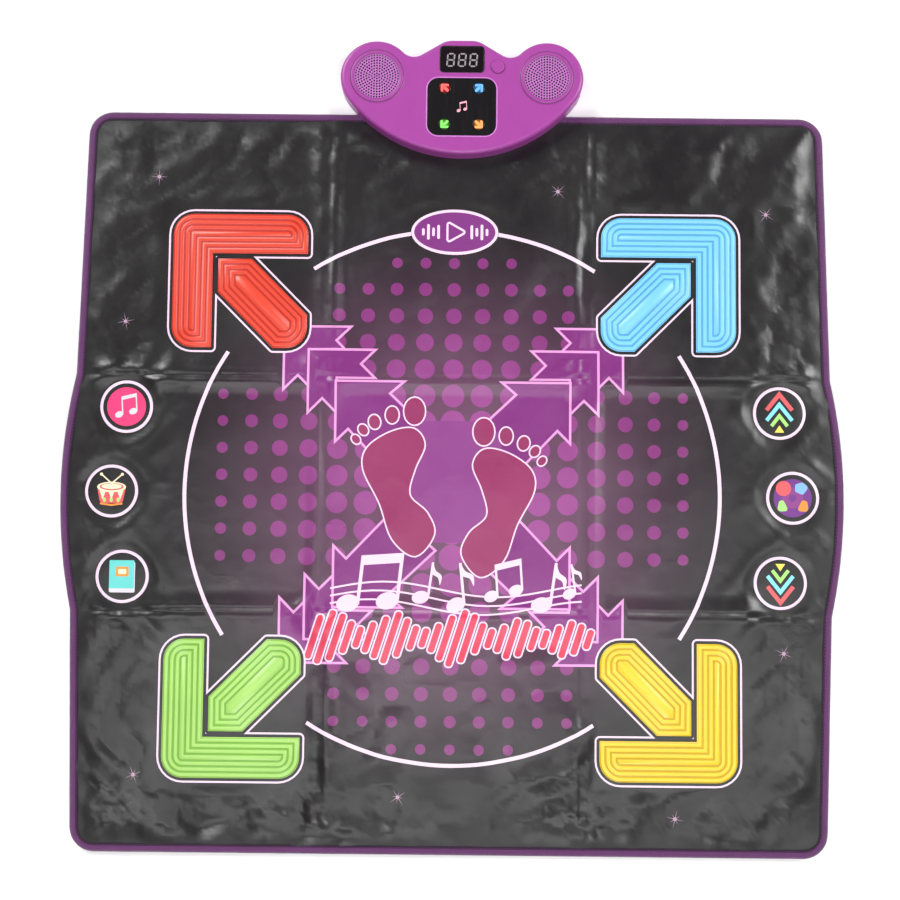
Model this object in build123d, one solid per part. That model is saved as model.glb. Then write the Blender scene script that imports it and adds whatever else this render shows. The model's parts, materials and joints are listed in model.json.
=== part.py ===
from build123d import *
from math import cos, hypot, radians, sin, sqrt
import os

# An electronic dance mat: a padded vinyl mat in three rows that fold on two
# creases, raised arrow pads, and a plastic sound console on the top edge.
# Millimetres. +X right and +Y towards the console as the dancer stands, +Z up,
# origin on the floor under the middle of the mat.

os.makedirs("parts", exist_ok=True)

# ---- Driving dimensions: mat ----
mat_half_width = 465
mat_half_length = 462.5
mat_corner = 30
side_flare = 8
side_bow = 16
mat_thickness = 8.0
print_y = -20.0
row_half = 147.5
crease_y = {"top": print_y + row_half, "bottom": print_y - row_half}

skin = 0.7
backing = 0.6
foam_split = (4.0, 4.4)
binding_width = 11
binding_wall = 0.8
binding_leg = 0.6
foam_inset = 14
film_inset = 30

# ---- Driving dimensions: pads ----
arrow_size = 170
arrow_corner = 26
arrow_inner = (185, 182)
arrow_leg = 50
arrow_split = 57
arrow_stem = 60
arrow_top = 11.0
pad_bottom = 6.6
pad_gap = 0.5
start_size = (110, 58)
start_y = print_y + 332
start_top = 8.8
side_radius = 33
side_top = 8.6
side_outer_x = 425
side_inner_x = 409
side_pitch = 106

# ---- Driving dimensions: console ----
ear_x = 107
ear_y = 504.5
ear_radius = 46
belly_radius = 182
hump_half = 20
hump_y = 552.5
valley_angle = 26.5
console_x = 7.0
shelf_bottom = mat_thickness + binding_leg
tray_y = mat_half_length + 1.5
tray_bottom = 2.0
console_top = 34.0
parting = 14.0
wall = 2.2
edge_round = 5.0
board_z = 24.0
board_thickness = 1.6
board_box = (-53, 53, 424, 530)
panel_size = (87, 74)
panel_y = 466
panel_recess = 1.0
panel_corner = 14
light_x = 21.5
light_ys = {"upper": 490, "lower": 443.5}
window_size = (54, 32)
window_y = 527
power_place = (45, 518)
grille_radius = 29
clamp_y = 446
clamp_xs = [-96, -48, 0, 48, 96]
cable_y = 431
bay_y = 493.5
cell_radius = 7.15
cell_z = 11.9
cell_pitch = 15
door_size = (61, 46)
door_screw_x = 38


def save(name, *solids):
    shape = Compound(children=list(solids)) if len(solids) > 1 else solids[0]
    export_step(shape, f"parts/{name}.step")


def save_console(name, *solids):
    """The console is drawn about its own middle, which is a little right of the mat's."""
    save(name, *[Pos(console_x, 0, 0) * solid for solid in solids])


def layer(face, low, high):
    """The face as a slab between two heights."""
    return Pos(0, 0, low) * extrude(face, high - low, dir=(0, 0, 1))


def box(x0, x1, y0, y1, z0, z1):
    centre = Pos((x0 + x1) / 2, (y0 + y1) / 2, (z0 + z1) / 2)
    return centre * Box(x1 - x0, y1 - y0, z1 - z0)


def rod(x, y, radius, low, high):
    return Pos(x, y, (low + high) / 2) * Cylinder(radius, high - low)


def turned(points, x, y):
    """A solid of revolution about the upright line through x, y."""
    profile = make_face(Polyline(*[(r, 0, z) for r, z in points], close=True))
    return Pos(x, y, 0) * revolve(profile, Axis.Z)


def screw(x, y, head_radius, head_low, head_high, shank_radius, tip):
    head = rod(x, y, head_radius, head_low, head_high)
    slot = box(x - head_radius, x + head_radius, y - 0.4, y + 0.4, head_low, head_low + 0.8)
    return head - slot + rod(x, y, shank_radius, head_high, tip)


# ---- Mat outline and rows ----
def mat_outline():
    """The ends are straight and the sides bow out across the middle row."""
    w, l, c = mat_half_width, mat_half_length, mat_half_width + side_flare
    top, bottom = crease_y["top"], crease_y["bottom"]
    sides = []
    for s in (1, -1):
        sides.append(Line((s * w, l), (s * c, top)))
        sides.append(ThreePointArc((s * c, top), (s * (c + side_bow), print_y), (s * c, bottom)))
        sides.append(Line((s * c, bottom), (s * w, -l)))
    ends = [Line((-w, l), (w, l)), Line((-w, -l), (w, -l))]
    face = make_face(sides + ends)
    corners = face.vertices().group_by(Axis.Y)
    return fillet(corners[0] + corners[-1], mat_corner)


outline = mat_outline()
far = 600
row_limits = {
    "top": (crease_y["top"], far),
    "middle": (crease_y["bottom"], crease_y["top"]),
    "bottom": (-far, crease_y["bottom"]),
}


def row_part(inset, row, low, high):
    """A slab of the mat inside the outline by inset, cut to one row."""
    face = offset(outline, -inset) if inset else outline
    y0, y1 = row_limits[row]
    return layer(face, low, high) & box(-far, far, y0, y1, low - 1, high + 1)


# ---- Pad outlines ----
def arrow_faces():
    """The arrow that points to +X +Y: an L-shaped head and a diagonal stem."""
    square = RectangleRounded(arrow_size, arrow_size, arrow_corner)
    inner = arrow_size - arrow_leg
    shift = -arrow_leg / 2
    head = square - Pos(shift, shift) * Rectangle(inner, inner)
    reach = arrow_size
    edge = arrow_size / 2 - arrow_split
    quarter = Pos(edge - reach / 2, edge - reach / 2) * Rectangle(reach, reach)
    band = Rot(0, 0, 45) * Rectangle(2 * arrow_size, arrow_stem)
    stem = square & quarter & band
    half = arrow_size / 2
    place = Pos(arrow_inner[0] + half, arrow_inner[1] + half)
    return {"chevron": place * head, "stem": place * stem}


def to_quarter(shape, sx, sy):
    """Mirror a shape of the +X +Y quarter to another one, about the print's centre."""
    if sx < 0:
        shape = mirror(shape, about=Plane.YZ)
    if sy < 0:
        shape = mirror(shape, about=Plane.XZ)
    return Pos(0, print_y, 0) * shape


arrows = {"red": (-1, 1), "blue": (1, 1), "green": (-1, -1), "yellow": (1, -1)}
side_pads = {}
for side_name, sx in (("left", -1), ("right", 1)):
    side_pads[f"{side_name}_pad_upper"] = (sx * side_inner_x, print_y + side_pitch)
    side_pads[f"{side_name}_pad_middle"] = (sx * side_outer_x, print_y)
    side_pads[f"{side_name}_pad_lower"] = (sx * side_inner_x, print_y - side_pitch)


def pad_solid(face, top, rounding):
    solid = layer(face, pad_bottom, top)
    return fillet(solid.faces().sort_by(Axis.Z)[-1].edges(), rounding)


def pad_holes(row, low, high):
    """What the pads of one row cut out of a layer of the mat."""
    holes = []
    for sx, sy in arrows.values():
        if row == ("top" if sy > 0 else "bottom"):
            for face in arrow_faces().values():
                holes.append(to_quarter(layer(offset(face, pad_gap), low, high), sx, sy))
    if row == "top":
        oval = Ellipse(start_size[0] / 2 + pad_gap, start_size[1] / 2 + pad_gap)
        holes.append(layer(Pos(0, start_y) * oval, low, high))
    if row == "middle":
        for x, y in side_pads.values():
            holes.append(rod(x, y, side_radius + pad_gap, low, high))
    return holes


def make_pads():
    for colour, (sx, sy) in arrows.items():
        for name, face in arrow_faces().items():
            pad = pad_solid(face, arrow_top, 1.2)
            save(f"arrow_{colour}_{name}", to_quarter(pad, sx, sy))
    oval = Ellipse(start_size[0] / 2, start_size[1] / 2)
    save("start_pad", pad_solid(Pos(0, start_y) * oval, start_top, 0.5))
    for name, (x, y) in side_pads.items():
        save(name, pad_solid(Pos(x, y) * Circle(side_radius), side_top, 0.4))


# ---- Mat layers ----
clamp_pocket = (-106, 106, clamp_y - 9, clamp_y + 9)
cable_slot = (-9, 9, cable_y - 1, cable_y + 1.5)


def clamp_holes(radius, low, high):
    return [rod(x, clamp_y, radius, low, high) for x in clamp_xs]


def make_mat_rows():
    top_low = mat_thickness - skin
    for row in row_limits:
        sheet = row_part(binding_wall, row, top_low, mat_thickness)
        sheet -= pad_holes(row, top_low - 1, mat_thickness + 1)
        base = row_part(binding_width, row, 0, backing)
        foam_low = row_part(foam_inset, row, backing, foam_split[0])
        foam_high = row_part(foam_inset, row, foam_split[1], top_low)
        foam_high -= pad_holes(row, foam_split[1] - 1, mat_thickness)
        if row == "top":
            aside = Pos(console_x, 0, 0)
            sheet -= [aside * hole for hole in clamp_holes(1.7, top_low - 1, mat_thickness + 1)]
            sheet -= aside * box(*cable_slot, top_low - 1, mat_thickness + 1)
            base -= [aside * hole for hole in clamp_holes(4, -1, 1)]
            pocket = aside * box(*clamp_pocket, 0, mat_thickness)
            foam_low -= pocket
            foam_high -= pocket
            foam_high -= aside * box(-9, 9, cable_y - 13, cable_y + 1.5, foam_split[1] - 1, mat_thickness)
        save(f"top_sheet_{row}_row", sheet)
        save(f"base_sheet_{row}_row", base)
        save(f"foam_{row}_row", foam_low, foam_high)
        save(f"sensor_film_{row}_row", row_part(film_inset, row, *foam_split))
        save(f"binding_{row}_row", *binding(row))


def binding(row):
    """Tape folded round the edge: a side wall with a leg over and a leg under."""
    top = shelf_bottom
    hollow = row_part(binding_wall, row, binding_leg, mat_thickness)
    middle = row_part(binding_width, row, -1, top + 1)
    tape = row_part(0, row, 0, top) - hollow - middle
    return tape.solids()


# ---- Console shell ----
def console_outline():
    """Two round speaker ears, a curved front edge and a low hump at the back."""
    drop = sqrt((belly_radius - ear_radius) ** 2 - ear_x**2)
    belly_y = ear_y + drop
    scale = belly_radius / (belly_radius - ear_radius)
    tangent = (ear_x * scale, belly_y - drop * scale)
    valley_x = ear_x - ear_radius * cos(radians(valley_angle))
    valley_y = ear_y + ear_radius * sin(radians(valley_angle))
    edges = [ThreePointArc(tangent, (0, belly_y - belly_radius), (-tangent[0], tangent[1]))]
    for s in (1, -1):
        ear = [(s * tangent[0], tangent[1]), (s * (ear_x + ear_radius), ear_y), (s * valley_x, valley_y)]
        edges.append(ThreePointArc(*ear))
        edges.append(Line((s * valley_x, valley_y), (s * hump_half, hump_y)))
    edges.append(Line((-hump_half, hump_y), (hump_half, hump_y)))
    face = make_face(edges)
    humps = face.vertices().group_by(Axis.Y)[-1]
    face = fillet(humps, 28)
    valleys = [v for v in face.vertices() if abs(abs(v.X) - valley_x) < 0.5 and abs(v.Y - valley_y) < 0.5]
    return fillet(valleys, 19)


console = console_outline()
inside = offset(console, -wall)
lid_inner = console_top - wall
floor_inner = tray_bottom + wall
shelf_inner = shelf_bottom + wall
ear_screws = [(s * (ear_x + 38.5), ear_y) for s in (1, -1)] + [(s * ear_x, ear_y + 38.5) for s in (1, -1)]
board_screw_places = [(x, y) for x in (-48, 48) for y in (430, 497)]
lights = {
    "red": (-light_x, light_ys["upper"]),
    "blue": (light_x, light_ys["upper"]),
    "green": (-light_x, light_ys["lower"]),
    "orange": (light_x, light_ys["lower"]),
}


def shell_body():
    """The hollow housing, with its deep tray behind the mat and its shelf over it."""
    outer = layer(console, tray_bottom, console_top)
    outer = fillet(outer.faces().sort_by(Axis.Z)[-1].edges(), edge_round)
    outer -= box(-far, far, 0, tray_y, 0, shelf_bottom)
    tray = layer(inside, floor_inner, lid_inner) & box(-far, far, tray_y + wall, far, 0, 60)
    room = layer(inside, shelf_inner, lid_inner)
    return outer - tray - room


def make_upper_shell(body):
    shell = body & box(-far, far, 0, far, parting, 60)
    for x, y in ear_screws:
        shell += rod(x, y, 3.8, parting, lid_inner)
        shell -= rod(x, y, 1.5, parting - 1, 26)
    for x, y in board_screw_places:
        shell += rod(x, y, 3, board_z + board_thickness, lid_inner)
        shell -= rod(x, y, 1.1, board_z, 30)
    recess = Pos(0, panel_y) * RectangleRounded(*panel_size, panel_corner)
    shell -= layer(recess, console_top - panel_recess, console_top + 1)
    for x, y in lights.values():
        shell -= rod(x, y, 7.7, lid_inner - 1, console_top)
    window = Pos(0, window_y) * RectangleRounded(*window_size, 4)
    shell -= layer(window, lid_inner - 1, console_top + 1)
    shell -= rod(*power_place, 8.9, lid_inner - 1, console_top + 1)
    for s in (1, -1):
        shell -= rod(s * ear_x, ear_y, grille_radius, lid_inner - 1, console_top + 1)
    save_console("upper_shell", shell)


def make_lower_shell(body):
    shell = body & box(-far, far, 0, far, 0, parting)
    bay_x, bay_half = door_size[0] / 2 + 0.7, door_size[1] / 2 + 0.7
    ring = box(-bay_x - 1.6, bay_x + 1.6, bay_y - bay_half - 1.6, bay_y + bay_half + 1.6, floor_inner, 20)
    shell += ring - box(-bay_x, bay_x, bay_y - bay_half, bay_y + bay_half, 0, 21)
    shell += box(bay_x + 1.6, door_screw_x + 5, bay_y - 7.5, bay_y + 7.5, floor_inner, parting)
    for x, y in ear_screws:
        shell += rod(x, y, 4.6, floor_inner, parting)
        shell -= rod(x, y, 3.2, 0, 8)
        shell -= rod(x, y, 1.7, 7, parting + 1)
    for x in clamp_xs:
        shell += rod(x, clamp_y, 4, shelf_inner, 18)
    shell -= clamp_holes(1.5, shelf_bottom - 1, 19)
    shell -= box(*cable_slot, shelf_bottom - 1, shelf_inner + 1)
    gap = 0.3
    half_x, half_y = door_size[0] / 2 + gap, door_size[1] / 2 + gap
    shell -= box(-half_x, half_x, bay_y - half_y, bay_y + half_y, 0, floor_inner)
    shell -= box(0, door_screw_x + 5.5 + gap, bay_y - 5.5 - gap, bay_y + 5.5 + gap, 0, floor_inner)
    shell -= rod(door_screw_x, bay_y, 1.55, floor_inner - 1, 13)
    save_console("lower_shell", shell)


# ---- Console face ----
def make_console_face():
    face = Pos(0, panel_y) * RectangleRounded(*panel_size, panel_corner)
    for x, y in lights.values():
        face -= Pos(x, y) * Circle(7.7)
    panel_low = console_top - panel_recess
    save_console("face_panel", layer(face, panel_low, panel_low + 1.3))
    for colour, (x, y) in lights.items():
        lens = rod(x, y, 7.5, lid_inner, 34.9)
        lens = fillet(lens.faces().sort_by(Axis.Z)[-1].edges(), 0.5)
        save_console(f"arrow_light_{colour}", lens + rod(x, y, 9, 30.4, lid_inner))
    window = Pos(0, window_y) * RectangleRounded(*window_size, 4)
    save_console("display_window", layer(window, lid_inner, console_top + 0.3))
    module = box(-25, 25, window_y - 14, window_y + 14, board_z + board_thickness, 30.5)
    save_console("display_module", module)


def make_power_button():
    x, y = power_place
    cap = rod(x, y, 8.5, 31, 36)
    cap = fillet(cap.faces().sort_by(Axis.Z)[-1].edges(), 1)
    save_console("power_button", cap + rod(x, y, 10, 29.8, 31.5))
    base = board_z + board_thickness
    save_console("power_switch", box(x - 4, x + 4, y - 4, y + 4, base, 28) + rod(x, y, 1.75, 28, 28.4))


def grille(x, y):
    """A raised ring round a perforated disc."""
    disc = rod(x, y, grille_radius, 33.2, 34.6)
    ring = rod(x, y, 33, console_top, 35.6) - rod(x, y, 28, console_top - 1, 36)
    holes = []
    for ring_number in range(1, 4):
        radius = 7 * ring_number
        holes += [Pos(x, y) * p for p in PolarLocations(radius, 6 * ring_number)]
    drilled = [p * Pos(0, 0, 34) * Cylinder(1.2, 4) for p in holes]
    return disc + ring - drilled


def make_speakers():
    """Each has a grille, a steel basket with its magnet, and a paper cone."""
    for side, s in (("left", -1), ("right", 1)):
        x = s * ear_x
        save_console(f"speaker_grille_{side}", grille(x, ear_y))
        flange = [(25, 31.6), (32, 31.6), (32, 29.8), (28.5, 29.8), (15, 18.5), (15, 9.5)]
        hollow = [(0, 9.5), (0, 18.5), (13, 18.5), (25.5, 29)]
        save_console(f"speaker_frame_{side}", turned(flange + hollow, x, ear_y))
        rim = [(24.2, 31.3), (24.2, 31.8), (27, 31.8), (27, 31.6), (24.7, 31.6), (24.7, 31.1)]
        bowl = [(8, 21.8), (0, 21.8), (0, 22.4), (7.8, 22.4)]
        save_console(f"speaker_cone_{side}", turned(rim + bowl, x, ear_y))


# ---- Console inside ----
def make_board():
    board = box(*board_box, board_z, board_z + board_thickness)
    for x, y in board_screw_places:
        board -= rod(x, y, 1.2, board_z - 1, board_z + 3)
    save_console("main_board", board)
    top = board_z + board_thickness
    parts = [rod(x, y, 2.5, top, 29.6) for x, y in lights.values()]
    parts.append(box(-11, 11, cable_y - 2.5, cable_y + 3, 20, board_z))
    parts.append(rod(0, 470, 8, 21.5, board_z))
    parts += [box(x - 3, x + 3, 455, 460, 22, board_z) for x in (-34, -18, 18, 34)]
    parts.append(rod(38, 520, 3, 20.5, board_z))
    save_console("board_components", *parts)
    fixings = [screw(x, y, 2.2, 22.2, board_z, 1.1, 29.5) for x, y in board_screw_places]
    save_console("board_screws", *fixings)


def make_batteries():
    cells, contacts = [], []
    for i in (-1, 0, 1):
        y = bay_y + i * cell_pitch
        nub = 1 if i else -1
        body = Pos(-0.75 * nub, y, cell_z) * Rot(0, 90, 0) * Cylinder(cell_radius, 49)
        tip = Pos(24.5 * nub, y, cell_z) * Rot(0, 90, 0) * Cylinder(2.75, 1.5)
        cells.append(body + tip)
        for end in (-1, 1):
            plate = box(end * 30.5 - 0.2, end * 30.5 + 0.2, y - 6, y + 6, 5, 18)
            height = 5.0
            spot = Pos(end * (30.3 - height / 2), y, cell_z) * Rot(0, 90 * -end, 0)
            contacts.append(plate + spot * Cone(4.5, 2.6, height))
    save_console("battery_cells", *cells)
    save_console("battery_contacts", *contacts)
    half_x, half_y = door_size[0] / 2, door_size[1] / 2
    low, high = tray_bottom, tray_bottom + 2
    door = box(-half_x, half_x, bay_y - half_y, bay_y + half_y, low, high)
    door += box(0, door_screw_x + 5.5, bay_y - 5.5, bay_y + 5.5, low, high)
    door -= rod(door_screw_x, bay_y, 2.8, low - 1, low + 1.6)
    door -= rod(door_screw_x, bay_y, 1.5, low, high + 1)
    for i in range(5):
        y = bay_y - 10 + 5 * i
        door -= box(-half_x + 4, -half_x + 16, y - 0.8, y + 0.8, low - 1, low + 0.6)
    save_console("battery_door", door)
    save_console("battery_door_screw", screw(door_screw_x, bay_y, 2.8, low + 0.2, low + 1.6, 1.5, 12))


def make_clamp():
    """A bar sunk in the foam pulls the mat's skin up against the console's shelf."""
    bar = box(-104, 104, clamp_y - 7, clamp_y + 7, 1, mat_thickness - skin)
    bar -= clamp_holes(3.4, 0, 3.4)
    bar -= clamp_holes(1.7, 3, mat_thickness)
    save_console("clamp_bar", bar)
    save_console("clamp_screws", *[screw(x, clamp_y, 3, 1.4, 3.4, 1.5, 16) for x in clamp_xs])
    save_console("housing_screws", *[screw(x, y, 3, 6, 8, 1.5, 24) for x, y in ear_screws])


def make_wiring():
    """The mat's flat cable, and a thin pair of wires to each speaker."""
    thickness = 0.3
    low = foam_split[1]
    profile = Polyline((0, cable_y - 11, low), (0, cable_y, low), (0, cable_y, 20))
    inner = cable_y - thickness
    back = Polyline((0, cable_y, 20), (0, inner, 20), (0, inner, low + thickness),
                    (0, cable_y - 11, low + thickness), (0, cable_y - 11, low))
    section = make_face(profile.edges() + back.edges())
    save_console("flat_cable", extrude(section, 8, both=True))
    wires = []
    for s in (1, -1):
        path = FilletPolyline((s * 50, ear_y, board_z), (s * 50, ear_y, 17), (s * 91.8, ear_y, 14), radius=3)
        wires.append(sweep(Plane(path @ 0, z_dir=path % 0) * Circle(0.7), path))
    save_console("speaker_wires", *wires)


def make_feet():
    places = [(s * x, y) for s in (1, -1) for x, y in ((125, 488), (72, 512))]
    feet = [rod(x, y, 6, 0, tray_bottom) for x, y in places]
    save_console("rubber_feet", *[fillet(f.faces().sort_by(Axis.Z)[0].edges(), 0.5) for f in feet])


make_mat_rows()
make_pads()
housing = shell_body()
make_upper_shell(housing)
make_lower_shell(housing)
make_console_face()
make_power_button()
make_speakers()
make_board()
make_batteries()
make_clamp()
make_wiring()
make_feet()
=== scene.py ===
import json
from math import cos, hypot, pi, radians, sin, sqrt, tan

import bmesh
import bpy
import numpy as np
from mathutils import Matrix, Vector, noise
from mathutils.geometry import delaunay_2d_cdt


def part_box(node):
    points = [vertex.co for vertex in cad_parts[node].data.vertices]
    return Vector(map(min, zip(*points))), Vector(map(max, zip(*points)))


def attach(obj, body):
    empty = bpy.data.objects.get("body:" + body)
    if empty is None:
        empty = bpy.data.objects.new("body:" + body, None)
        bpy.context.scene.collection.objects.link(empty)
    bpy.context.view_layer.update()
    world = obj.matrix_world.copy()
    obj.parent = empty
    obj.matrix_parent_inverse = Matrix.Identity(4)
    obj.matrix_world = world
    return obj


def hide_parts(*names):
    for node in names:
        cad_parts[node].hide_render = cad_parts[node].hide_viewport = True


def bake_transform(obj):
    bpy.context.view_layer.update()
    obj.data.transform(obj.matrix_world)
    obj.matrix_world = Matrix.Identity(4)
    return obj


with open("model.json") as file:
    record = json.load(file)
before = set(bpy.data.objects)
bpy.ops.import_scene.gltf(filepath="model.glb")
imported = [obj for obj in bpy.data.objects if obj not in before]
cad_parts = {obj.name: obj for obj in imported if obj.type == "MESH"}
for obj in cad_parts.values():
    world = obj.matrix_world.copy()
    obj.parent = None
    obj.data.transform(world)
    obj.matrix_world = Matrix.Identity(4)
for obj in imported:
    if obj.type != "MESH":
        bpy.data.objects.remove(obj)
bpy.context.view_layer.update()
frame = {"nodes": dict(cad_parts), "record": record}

# An electronic dance mat. Flat shapes are drawn in millimetres and turned into
# metres when their mesh is made. The print is drawn about its own centre.

MM = 0.001
print_y = -20.0
row_half = 147.5
crease_top = print_y + row_half
crease_bottom = print_y - row_half
half_width = 465
half_length = 462.5
bow_radius = 687.9
bow_centre = 489 - bow_radius
skin = 0.7
sheet_z = 8.0
backing = 0.6
film_z, film_thickness = 4.0, 0.4
fold_strip = 8
arrow_top = 11.0
start_centre = (0, print_y + 332)
start_size = (110, 58)
side_radius = 33
ear_x, ear_y, ear_radius = 107, 504.5, 46
console_x = round(sum(corner.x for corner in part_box("face_panel")) / 2 / MM, 2)
belly_radius = 182
belly_y = ear_y + sqrt((belly_radius - ear_radius) ** 2 - ear_x**2)
left_crease, right_crease = -160, 165
corners_of_print = {"red": (-1, 1), "blue": (1, 1), "green": (-1, -1), "yellow": (1, -1)}

scene = bpy.context.scene


def linked(name, data):
    """A new object in the scene."""
    obj = bpy.data.objects.new(name, data)
    scene.collection.objects.link(obj)
    return obj


# ---- Camera ----
camera = linked("camera", bpy.data.cameras.new("camera"))
camera.location = (-0.0013, -0.1049, 1.8794)
camera.rotation_euler = (radians(4.3), radians(0.01), radians(0.61))
camera.data.lens = 60
camera.data.sensor_width = 36
scene.camera = camera


# ---- Flat outlines ----
def anticlockwise(points):
    area = sum(a[0] * b[1] - b[0] * a[1] for a, b in zip(points, points[1:] + points[:1]))
    return points if area > 0 else points[::-1]


def rounded(corners, grow=0.0, steps=7):
    """A closed outline from anticlockwise (x, y, radius) corners, grown outwards."""
    corners = [(c[0], c[1], c[2] if len(c) > 2 else 0) for c in corners]
    lines = []
    for (x0, y0, _), (x1, y1, _) in zip(corners, corners[1:] + corners[:1]):
        along = Vector((x1 - x0, y1 - y0)).normalized()
        lines.append((Vector((x0, y0)) + Vector((along.y, -along.x)) * grow, along))
    points = []
    for i, (q, e) in enumerate(lines):
        p, d = lines[i - 1]
        turn = d.cross(e)
        if abs(turn) < 1e-4:
            points.append(tuple(q))
            continue
        corner = p + d * ((q - p).cross(e) / turn)
        radius = corners[i][2]
        if radius:
            radius = radius + grow if turn > 0 else max(radius - grow, 0)
        if radius < 0.05:
            points.append(tuple(corner))
            continue
        side = 1 if turn > 0 else -1
        angle = d.angle(e)
        start = corner - d * radius * tan(angle / 2)
        centre = start + Vector((-d.y, d.x)) * radius * side
        for k in range(steps + 1):
            points.append(tuple(centre + Matrix.Rotation(side * angle * k / steps, 2) @ (start - centre)))
    return points


def ellipse(x, y, rx, ry=None, turn=0, steps=28):
    ry = ry or rx
    c, s = cos(radians(turn)), sin(radians(turn))
    points = []
    for k in range(steps):
        u, v = rx * cos(2 * pi * k / steps), ry * sin(2 * pi * k / steps)
        points.append((x + u * c - v * s, y + u * s + v * c))
    return points


def smooth_loop(points, steps=6):
    """A smooth closed line through the points."""
    n, out = len(points), []
    for i in range(n):
        a, b, c, d = (Vector(points[(i + k - 1) % n]) for k in range(4))
        for k in range(steps):
            t = k / steps
            out.append(tuple(0.5 * (2 * b + (c - a) * t + (2 * a - 5 * b + 4 * c - d) * t * t
                                    + (3 * b - a - 3 * c + d) * t**3)))
    return out


def stroke(points, half):
    """The outline of a line of some width through the points, with square ends."""
    points = [Vector(p) for p in points]
    left, right = [], []
    for i, p in enumerate(points):
        before = (p - points[i - 1]).normalized() if i else (points[1] - p).normalized()
        after = (points[i + 1] - p).normalized() if i + 1 < len(points) else before
        mitre = (before + after).normalized()
        across = Vector((-mitre.y, mitre.x)) * half / max(mitre.dot(before), 0.3)
        left.append(tuple(p + across))
        right.append(tuple(p - across))
    return anticlockwise(left + right[::-1])


def moved(points, x=0, y=0, sx=1, sy=1, turn=0):
    """Scaled or mirrored, then turned, then moved."""
    c, s = cos(radians(turn)), sin(radians(turn))
    out = [(x + px * sx * c - py * sy * s, y + px * sx * s + py * sy * c) for px, py in points]
    return anticlockwise(out)


def mat_outline(inset=0.0):
    """Straight ends, and sides that bow out across the middle row."""
    side = []
    for k in range(33):
        y = crease_bottom + 2 * row_half * k / 32
        side.append((bow_centre + sqrt(bow_radius**2 - (y - print_y) ** 2), y, 0))
    right = [(half_width, -half_length, 30)] + side + [(half_width, half_length, 30)]
    left = [(-x, y, r) for x, y, r in right[::-1]]
    return rounded(right + left, -inset)


head_corners = [(305, 182, 0), (355, 182, 26), (355, 352, 26), (185, 352, 26), (185, 302, 0), (305, 302, 0)]
stem_corners = [(227.4, 182, 0), (298, 252.6, 0), (298, 295, 0), (255.6, 295, 0), (185, 224.4, 0),
                (185, 182, 26)]


def note(x, y, size, turn=0, tail=True):
    """A single musical note standing on its head at x, y."""
    shapes = [ellipse(0, 0, 0.36, 0.26, 20), [(0.26, 0), (0.36, 0), (0.36, 1.5), (0.26, 1.5)]]
    if tail:
        shapes.append(smooth_loop([(0.3, 1.52), (0.46, 1.2), (0.74, 1.0), (0.72, 0.62), (0.6, 0.9),
                                   (0.32, 1.06)]))
    return [moved(s, x, y, size, size, turn) for s in shapes]


def paired_notes(x, y, size, turn=0):
    """Two notes joined by a beam."""
    shapes = [ellipse(0, 0, 0.34, 0.25, 20), ellipse(1.15, 0.2, 0.34, 0.25, 20)]
    shapes += [[(0.24, 0), (0.34, 0), (0.34, 1.4), (0.24, 1.4)],
               [(1.39, 0.2), (1.49, 0.2), (1.49, 1.6), (1.39, 1.6)]]
    shapes.append([(0.24, 1.15), (1.49, 1.37), (1.49, 1.66), (0.24, 1.44)])
    return [moved(s, x, y, size, size, turn) for s in shapes]


def box(x0, y0, x1, y1, radius):
    return [(x0, y0, radius), (x1, y0, radius), (x1, y1, radius), (x0, y1, radius)]


def grown(points, amount):
    return rounded(anticlockwise(list(points)), amount)


# ---- Sheets and plates with the print in their faces ----
def inside(points, loop):
    """Which of the points are inside the closed loop."""
    loop = np.array(loop)
    found = np.zeros(len(points), bool)
    low, high = loop.min(0), loop.max(0)
    near = np.where(((points >= low) & (points <= high)).all(1))[0]
    if len(near) == 0:
        return found
    px, py = points[near, 0], points[near, 1]
    flip = np.zeros(len(near), bool)
    for (ax, ay), (bx, by) in zip(loop, np.roll(loop, -1, 0)):
        if ay != by:
            crosses = (ay > py) != (by > py)
            flip ^= crosses & (px < (bx - ax) * (py - ay) / (by - ay) + ax)
    found[near] = flip
    return found


def grid_lines(low, high, step, creases=()):
    """Evenly spaced lines, and closer ones where the sheet folds or is parted."""
    reach = fold_strip + 4
    lines = [v for v in np.arange(low, high + step / 2, step) if all(abs(v - c) > reach for c in creases)]
    for c in creases:
        if low < c < high:
            lines += list(np.arange(c - reach, c + reach + 0.1, 1.6))
    return sorted(lines)


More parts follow.
